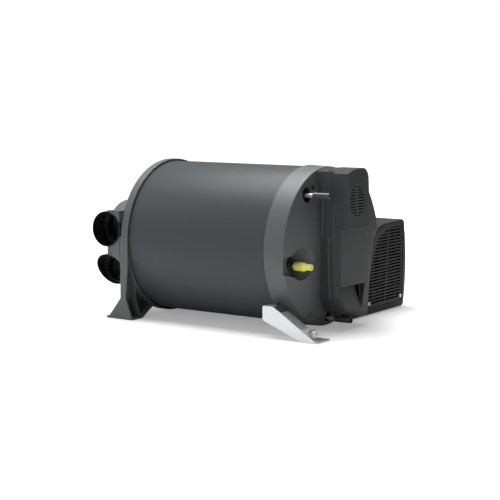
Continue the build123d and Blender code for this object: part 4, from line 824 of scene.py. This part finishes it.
@dataclass
class ControlUnit(SubAssembly):
    """Cover base, the two covers and the electronics behind them.

    Attributes:
        beads: For each cover, its parting line as points (x, z) in metres.
        bead_radius: Radius of the bead along the parting line.
        bead_sink: Depth by which the bead's axis lies under the wall.
        bead_steps: Places that are looked up on each straight of the line.
        bead_spacing: Smallest distance between two places in metres.
        bead_rounding: Blender's number of steps in a quarter of the bead.
        look_from: Where the look at the front wall starts, as y in metres.
    """

    beads: tuple[tuple[str, tuple[tuple[float, float], ...]], ...] = (
        ("upper_cover", ((0.1966, 0.176), (0.1966, 0.246), (0.2050, 0.2925))),
        ("lower_cover", ((0.2098, 0.060), (0.2098, 0.169))),
    )
    bead_radius: float = 0.0015
    bead_sink: float = 0.0004
    bead_steps: int = 40
    bead_spacing: float = 0.0001
    bead_rounding: int = 4
    look_from: float = -1.0

    def build(self) -> None:
        """Makes the covers with their parting beads, and dresses the board."""
        self.smooth_copy("cover_base", COVER_CREASE)
        for node, line in self.beads:
            self._bead(self.smooth_copy(node, COVER_CREASE), line)
        self.dress("circuit_board", "board_pillars", "board_parts")

    def _bead(self, cover: bpy.types.Object, line: tuple[tuple[float, float], ...]) -> None:
        """Lays a thin bead on the front wall of a cover, along its parting line.

        Args:
            cover: The cover that carries the bead.
            line: The parting line seen from the front, as points (x, z).
        """
        places = self._places_on(cover, line)
        Hand.clear()
        bpy.ops.curve.primitive_bezier_curve_add()
        bead = bpy.context.object
        bead.data.splines.clear()
        spline = bead.data.splines.new("POLY")
        spline.points.add(len(places) - 1)
        for point, place in zip(spline.points, places):
            point.co = (*place, 1.0)
        bead.data.bevel_depth = self.bead_radius
        bead.data.bevel_resolution = self.bead_rounding
        bead.data.use_fill_caps = True
        bead.location = (0, 0, 0)
        Hand.take(bead)
        bpy.ops.object.convert(target="MESH")
        Hand.settle(bead, cover.name + "_bead")
        Hand.smooth(bead, ROUND_CREASE)
        bead.data.materials.clear()
        bead.data.materials.append(cover.data.materials[0])
        Hand.join(cover, bead)

    def _places_on(
        self, cover: bpy.types.Object, line: tuple[tuple[float, float], ...]
    ) -> list[Vector]:
        """Looks up a line's places on the front wall of a cover.

        Args:
            cover: The cover.
            line: The line seen from the front, as points (x, z).

        Returns:
            The places, each a little under the wall.
        """
        inward = Vector((0, 1, 0))
        places: list[Vector] = []
        for start, end in zip(line, line[1:]):
            for step in range(self.bead_steps):
                share = step / (self.bead_steps - 1)
                x = start[0] + (end[0] - start[0]) * share
                z = start[1] + (end[1] - start[1]) * share
                hit, place, _, _ = cover.ray_cast(Vector((x, self.look_from, z)), inward)
                if hit and (not places or (place - places[-1]).length > self.bead_spacing):
                    places.append(place + inward * self.bead_sink)
        return places


@dataclass
class FanBox(SubAssembly):
    """Fan housing with its grille, screws and wheel.

    Attributes:
        screw_gap_y: Distance between the screws' centres in metres.
        recess_share: Length of a cross recess as a share of the head's diameter.
        recess_width: Its width as a share of the head's radius.
        recess_depth: Its depth in metres.
    """

    screw_gap_y: float = 0.126
    recess_share: float = 0.55
    recess_width: float = 0.22
    recess_depth: float = 0.0012

    def build(self) -> None:
        """Makes the housing, the grille and the screws with their cross recesses."""
        self.smooth_copy("fan_housing", BOX_CREASE)
        self.smooth_copy("intake_grille", BOX_CREASE)
        self._screws()
        self.dress(
            "fan_inlet_ring",
            "circulation_fan_motor",
            "circulation_fan_shaft",
            "circulation_fan_wheel",
        )

    def _screws(self) -> None:
        """Cuts a cross recess into both screw heads."""
        low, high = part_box("grille_screws")
        radius = (high.y - low.y - self.screw_gap_y) / 2
        screws = Hand.copy_solid(self.frame["nodes"]["grille_screws"], "grille_screws_dressed")
        for y in (low.y + radius, high.y - radius):
            centre = Vector((high.x, y, (low.z + high.z) / 2))
            for turn in (0.0, QUARTER_TURN):
                Hand.clear()
                bpy.ops.mesh.primitive_cube_add(size=1, location=centre, rotation=(turn, 0, 0))
                blade = bpy.context.object
                blade.scale = (
                    2 * self.recess_depth,
                    2 * radius * self.recess_share,
                    radius * self.recess_width,
                )
                Hand.settle(blade, "recess_blade")
                Hand.modify(screws, "BOOLEAN", operation="DIFFERENCE", object=blade, solver="EXACT")
                bpy.data.objects.remove(blade)
        Hand.smooth(screws, TURNED_CREASE)
        self.mount(screws, "galvanised", Body.HEATER, "grille_screws")


@dataclass
class Flue(SubAssembly):
    """Exhaust tube, combustion air collar and their saddle."""

    def build(self) -> None:
        """Makes the smooth pieces of the flue."""
        for node in ("exhaust_tube", "combustion_air_collar", "flue_boss"):
            self.smooth_copy(node, TURNED_CREASE)


@dataclass
class FloorBracket(SubAssembly):
    """Folded bracket with its bolt."""

    def build(self) -> None:
        """Makes the smooth pieces of the bracket and the bolt."""
        for node in ("mounting_bracket", "bracket_bolt"):
            self.smooth_copy(node, FOLD_CREASE)


@dataclass
class InnerWorks(SubAssembly):
    """Tank, exchanger, burner and combustion fan inside the drum.

    Attributes:
        nodes: Nodes that stay as they are.
    """

    nodes: tuple[str, ...] = (
        "insulation_jacket",
        "water_tank",
        "heat_exchanger",
        "combustion_chamber",
        "burner_housing",
        "glow_igniter",
        "water_sensor",
        "combustion_fan_housing",
        "combustion_fan_motor",
        "combustion_fan_wheel",
    )

    def build(self) -> None:
        """Dresses the inner solids."""
        self.dress(*self.nodes)


@dataclass(frozen=True)
class Lamp:
    """One soft square lamp.

    Attributes:
        name: Name of the lamp.
        place: Where it hangs.
        size: Side of the lamp in metres.
        power: Power in watts.
        target: What it looks at.
    """

    name: str
    place: tuple[float, float, float]
    size: float
    power: float
    target: tuple[float, float, float] = (0.0, 0.0, 0.12)

    def hang(self) -> None:
        """Adds the lamp to the scene."""
        Hand.clear()
        bpy.ops.object.light_add(type="AREA", location=self.place)
        lamp = bpy.context.object
        lamp.name = self.name
        lamp.data.size = self.size
        lamp.data.energy = self.power
        aim = Vector(self.target) - Vector(self.place)
        lamp.rotation_euler = aim.to_track_quat("-Z", "Y").to_euler()


@dataclass
class Studio:
    """Floor, world, lamps and camera.

    Attributes:
        floor_size: Side of the floor in metres.
        floor_drop: Depth of the floor under the feet in metres.
        floor_white: Brightness of the floor's paint.
        glow_near: Camera-only brightness of the floor near the heater.
        glow_from: Distance in metres from which the floor grows brighter.
        glow_to: Distance in metres at which it is fully bright.
        world_level: Strength of the light from all round.
        camera_place: Where the camera stands.
        camera_turn: Its Euler angles in degrees.
        lens: Focal length in millimetres.
        sensor: Width of the sensor in millimetres.
        clip: Nearest and farthest distance that the camera sees, in metres.
        lamps: The lamps.
    """

    floor_size: float = 60.0
    floor_drop: float = 0.0004
    floor_white: float = 0.86
    glow_near: float = 0.29
    glow_from: float = 0.45
    glow_to: float = 1.6
    world_level: float = 0.14
    camera_place: tuple[float, float, float] = (1.4339, -2.1488, 0.4443)
    camera_turn: tuple[float, float, float] = (82.9, 0.0, 34.5)
    lens: float = 95.94
    sensor: float = 36.0
    clip: tuple[float, float] = (0.05, 200.0)
    lamps: tuple[Lamp, ...] = (
        Lamp("top_light", (-0.5, 0.1, 2.5), 1.8, 98.0),
        Lamp("back_light", (-0.3, 2.4, 2.0), 2.0, 12.0),
        Lamp("front_light", (-0.6, -3.0, 1.5), 1.8, 11.0),
        Lamp("low_light", (0.3, -2.4, 0.25), 1.0, 5.5),
        Lamp("left_light", (-2.6, -0.9, 1.3), 1.4, 9.0),
    )

    def build(self) -> None:
        """Sets up the whole studio."""
        self._floor()
        self._world()
        for lamp in self.lamps:
            lamp.hang()
        self._camera()
        bpy.context.scene.view_settings.view_transform = "Standard"

    def _floor(self) -> None:
        """Adds a white floor that shows soft shadows."""
        Hand.clear()
        bpy.ops.mesh.primitive_plane_add(size=self.floor_size, location=(0, 0, -self.floor_drop))
        floor = Hand.settle(bpy.context.object, "studio_floor")
        sheet = NodeSheet("studio_floor")
        white = self.floor_white
        paint = sheet.add("ShaderNodeBsdfDiffuse", {"Color": (white, white, white, 1.0)})
        glow = sheet.add("ShaderNodeEmission", {"Color": (1, 1, 1, 1)})
        place = sheet.add("ShaderNodeTexCoord")
        reach = sheet.add("ShaderNodeVectorMath", operation="LENGTH")
        fade = {"From Min": self.glow_from, "From Max": self.glow_to}
        far = sheet.add("ShaderNodeMapRange", fade | {"To Min": self.glow_near, "To Max": 1.0})
        sheet.join(place.outputs["Object"], reach.inputs[0])
        sheet.join(reach.outputs["Value"], far.inputs["Value"])
        sheet.join(far.outputs["Result"], glow.inputs["Strength"])
        both = sheet.add("ShaderNodeAddShader")
        pick = sheet.add("ShaderNodeMixShader")
        path = sheet.add("ShaderNodeLightPath")
        sheet.join(paint.outputs[0], both.inputs[0])
        sheet.join(glow.outputs[0], both.inputs[1])
        sheet.join(path.outputs["Is Camera Ray"], pick.inputs[0])
        sheet.join(paint.outputs[0], pick.inputs[1])
        sheet.join(both.outputs[0], pick.inputs[2])
        sheet.join(pick.outputs[0], sheet.out.inputs["Surface"])
        floor.data.materials.append(sheet.material)

    def _world(self) -> None:
        """Adds plain light from all round and a white view behind."""
        world = bpy.data.worlds.new("studio_world")
        bpy.context.scene.world = world
        world.use_nodes = True
        tree = world.node_tree
        tree.nodes.clear()
        out = tree.nodes.new("ShaderNodeOutputWorld")
        light = tree.nodes.new("ShaderNodeBackground")
        white = tree.nodes.new("ShaderNodeBackground")
        light.inputs["Strength"].default_value = self.world_level
        white.inputs["Color"].default_value = (1, 1, 1, 1)
        light.inputs["Color"].default_value = (1, 1, 1, 1)
        pick = tree.nodes.new("ShaderNodeMixShader")
        path = tree.nodes.new("ShaderNodeLightPath")
        tree.links.new(path.outputs["Is Camera Ray"], pick.inputs[0])
        tree.links.new(light.outputs[0], pick.inputs[1])
        tree.links.new(white.outputs[0], pick.inputs[2])
        tree.links.new(pick.outputs[0], out.inputs["Surface"])

    def _camera(self) -> None:
        """Stands the camera at the photograph's angle."""
        Hand.clear()
        turn = tuple(math.radians(a) for a in self.camera_turn)
        bpy.ops.object.camera_add(location=self.camera_place, rotation=turn)
        camera = bpy.context.object
        camera.name = "studio_camera"
        camera.data.lens = self.lens
        camera.data.sensor_width = self.sensor
        camera.data.clip_start, camera.data.clip_end = self.clip
        bpy.context.scene.camera = camera


def main() -> None:
    """Builds the studio and every sub-assembly."""
    logging.basicConfig(level=logging.INFO, format="%(name)s %(message)s")
    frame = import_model()
    Studio().build()
    shelf = Palette().shelf()
    groups: list[type[SubAssembly]] = [
        Drum,
        OutletEnd,
        ControlEnd,
        ControlUnit,
        FanBox,
        Flue,
        FloorBracket,
        InnerWorks,
    ]
    for group in groups:
        part = group(frame, shelf)
        part.build()
        part.report()
    Hand.clear()


if __name__ == "__main__":
    main()
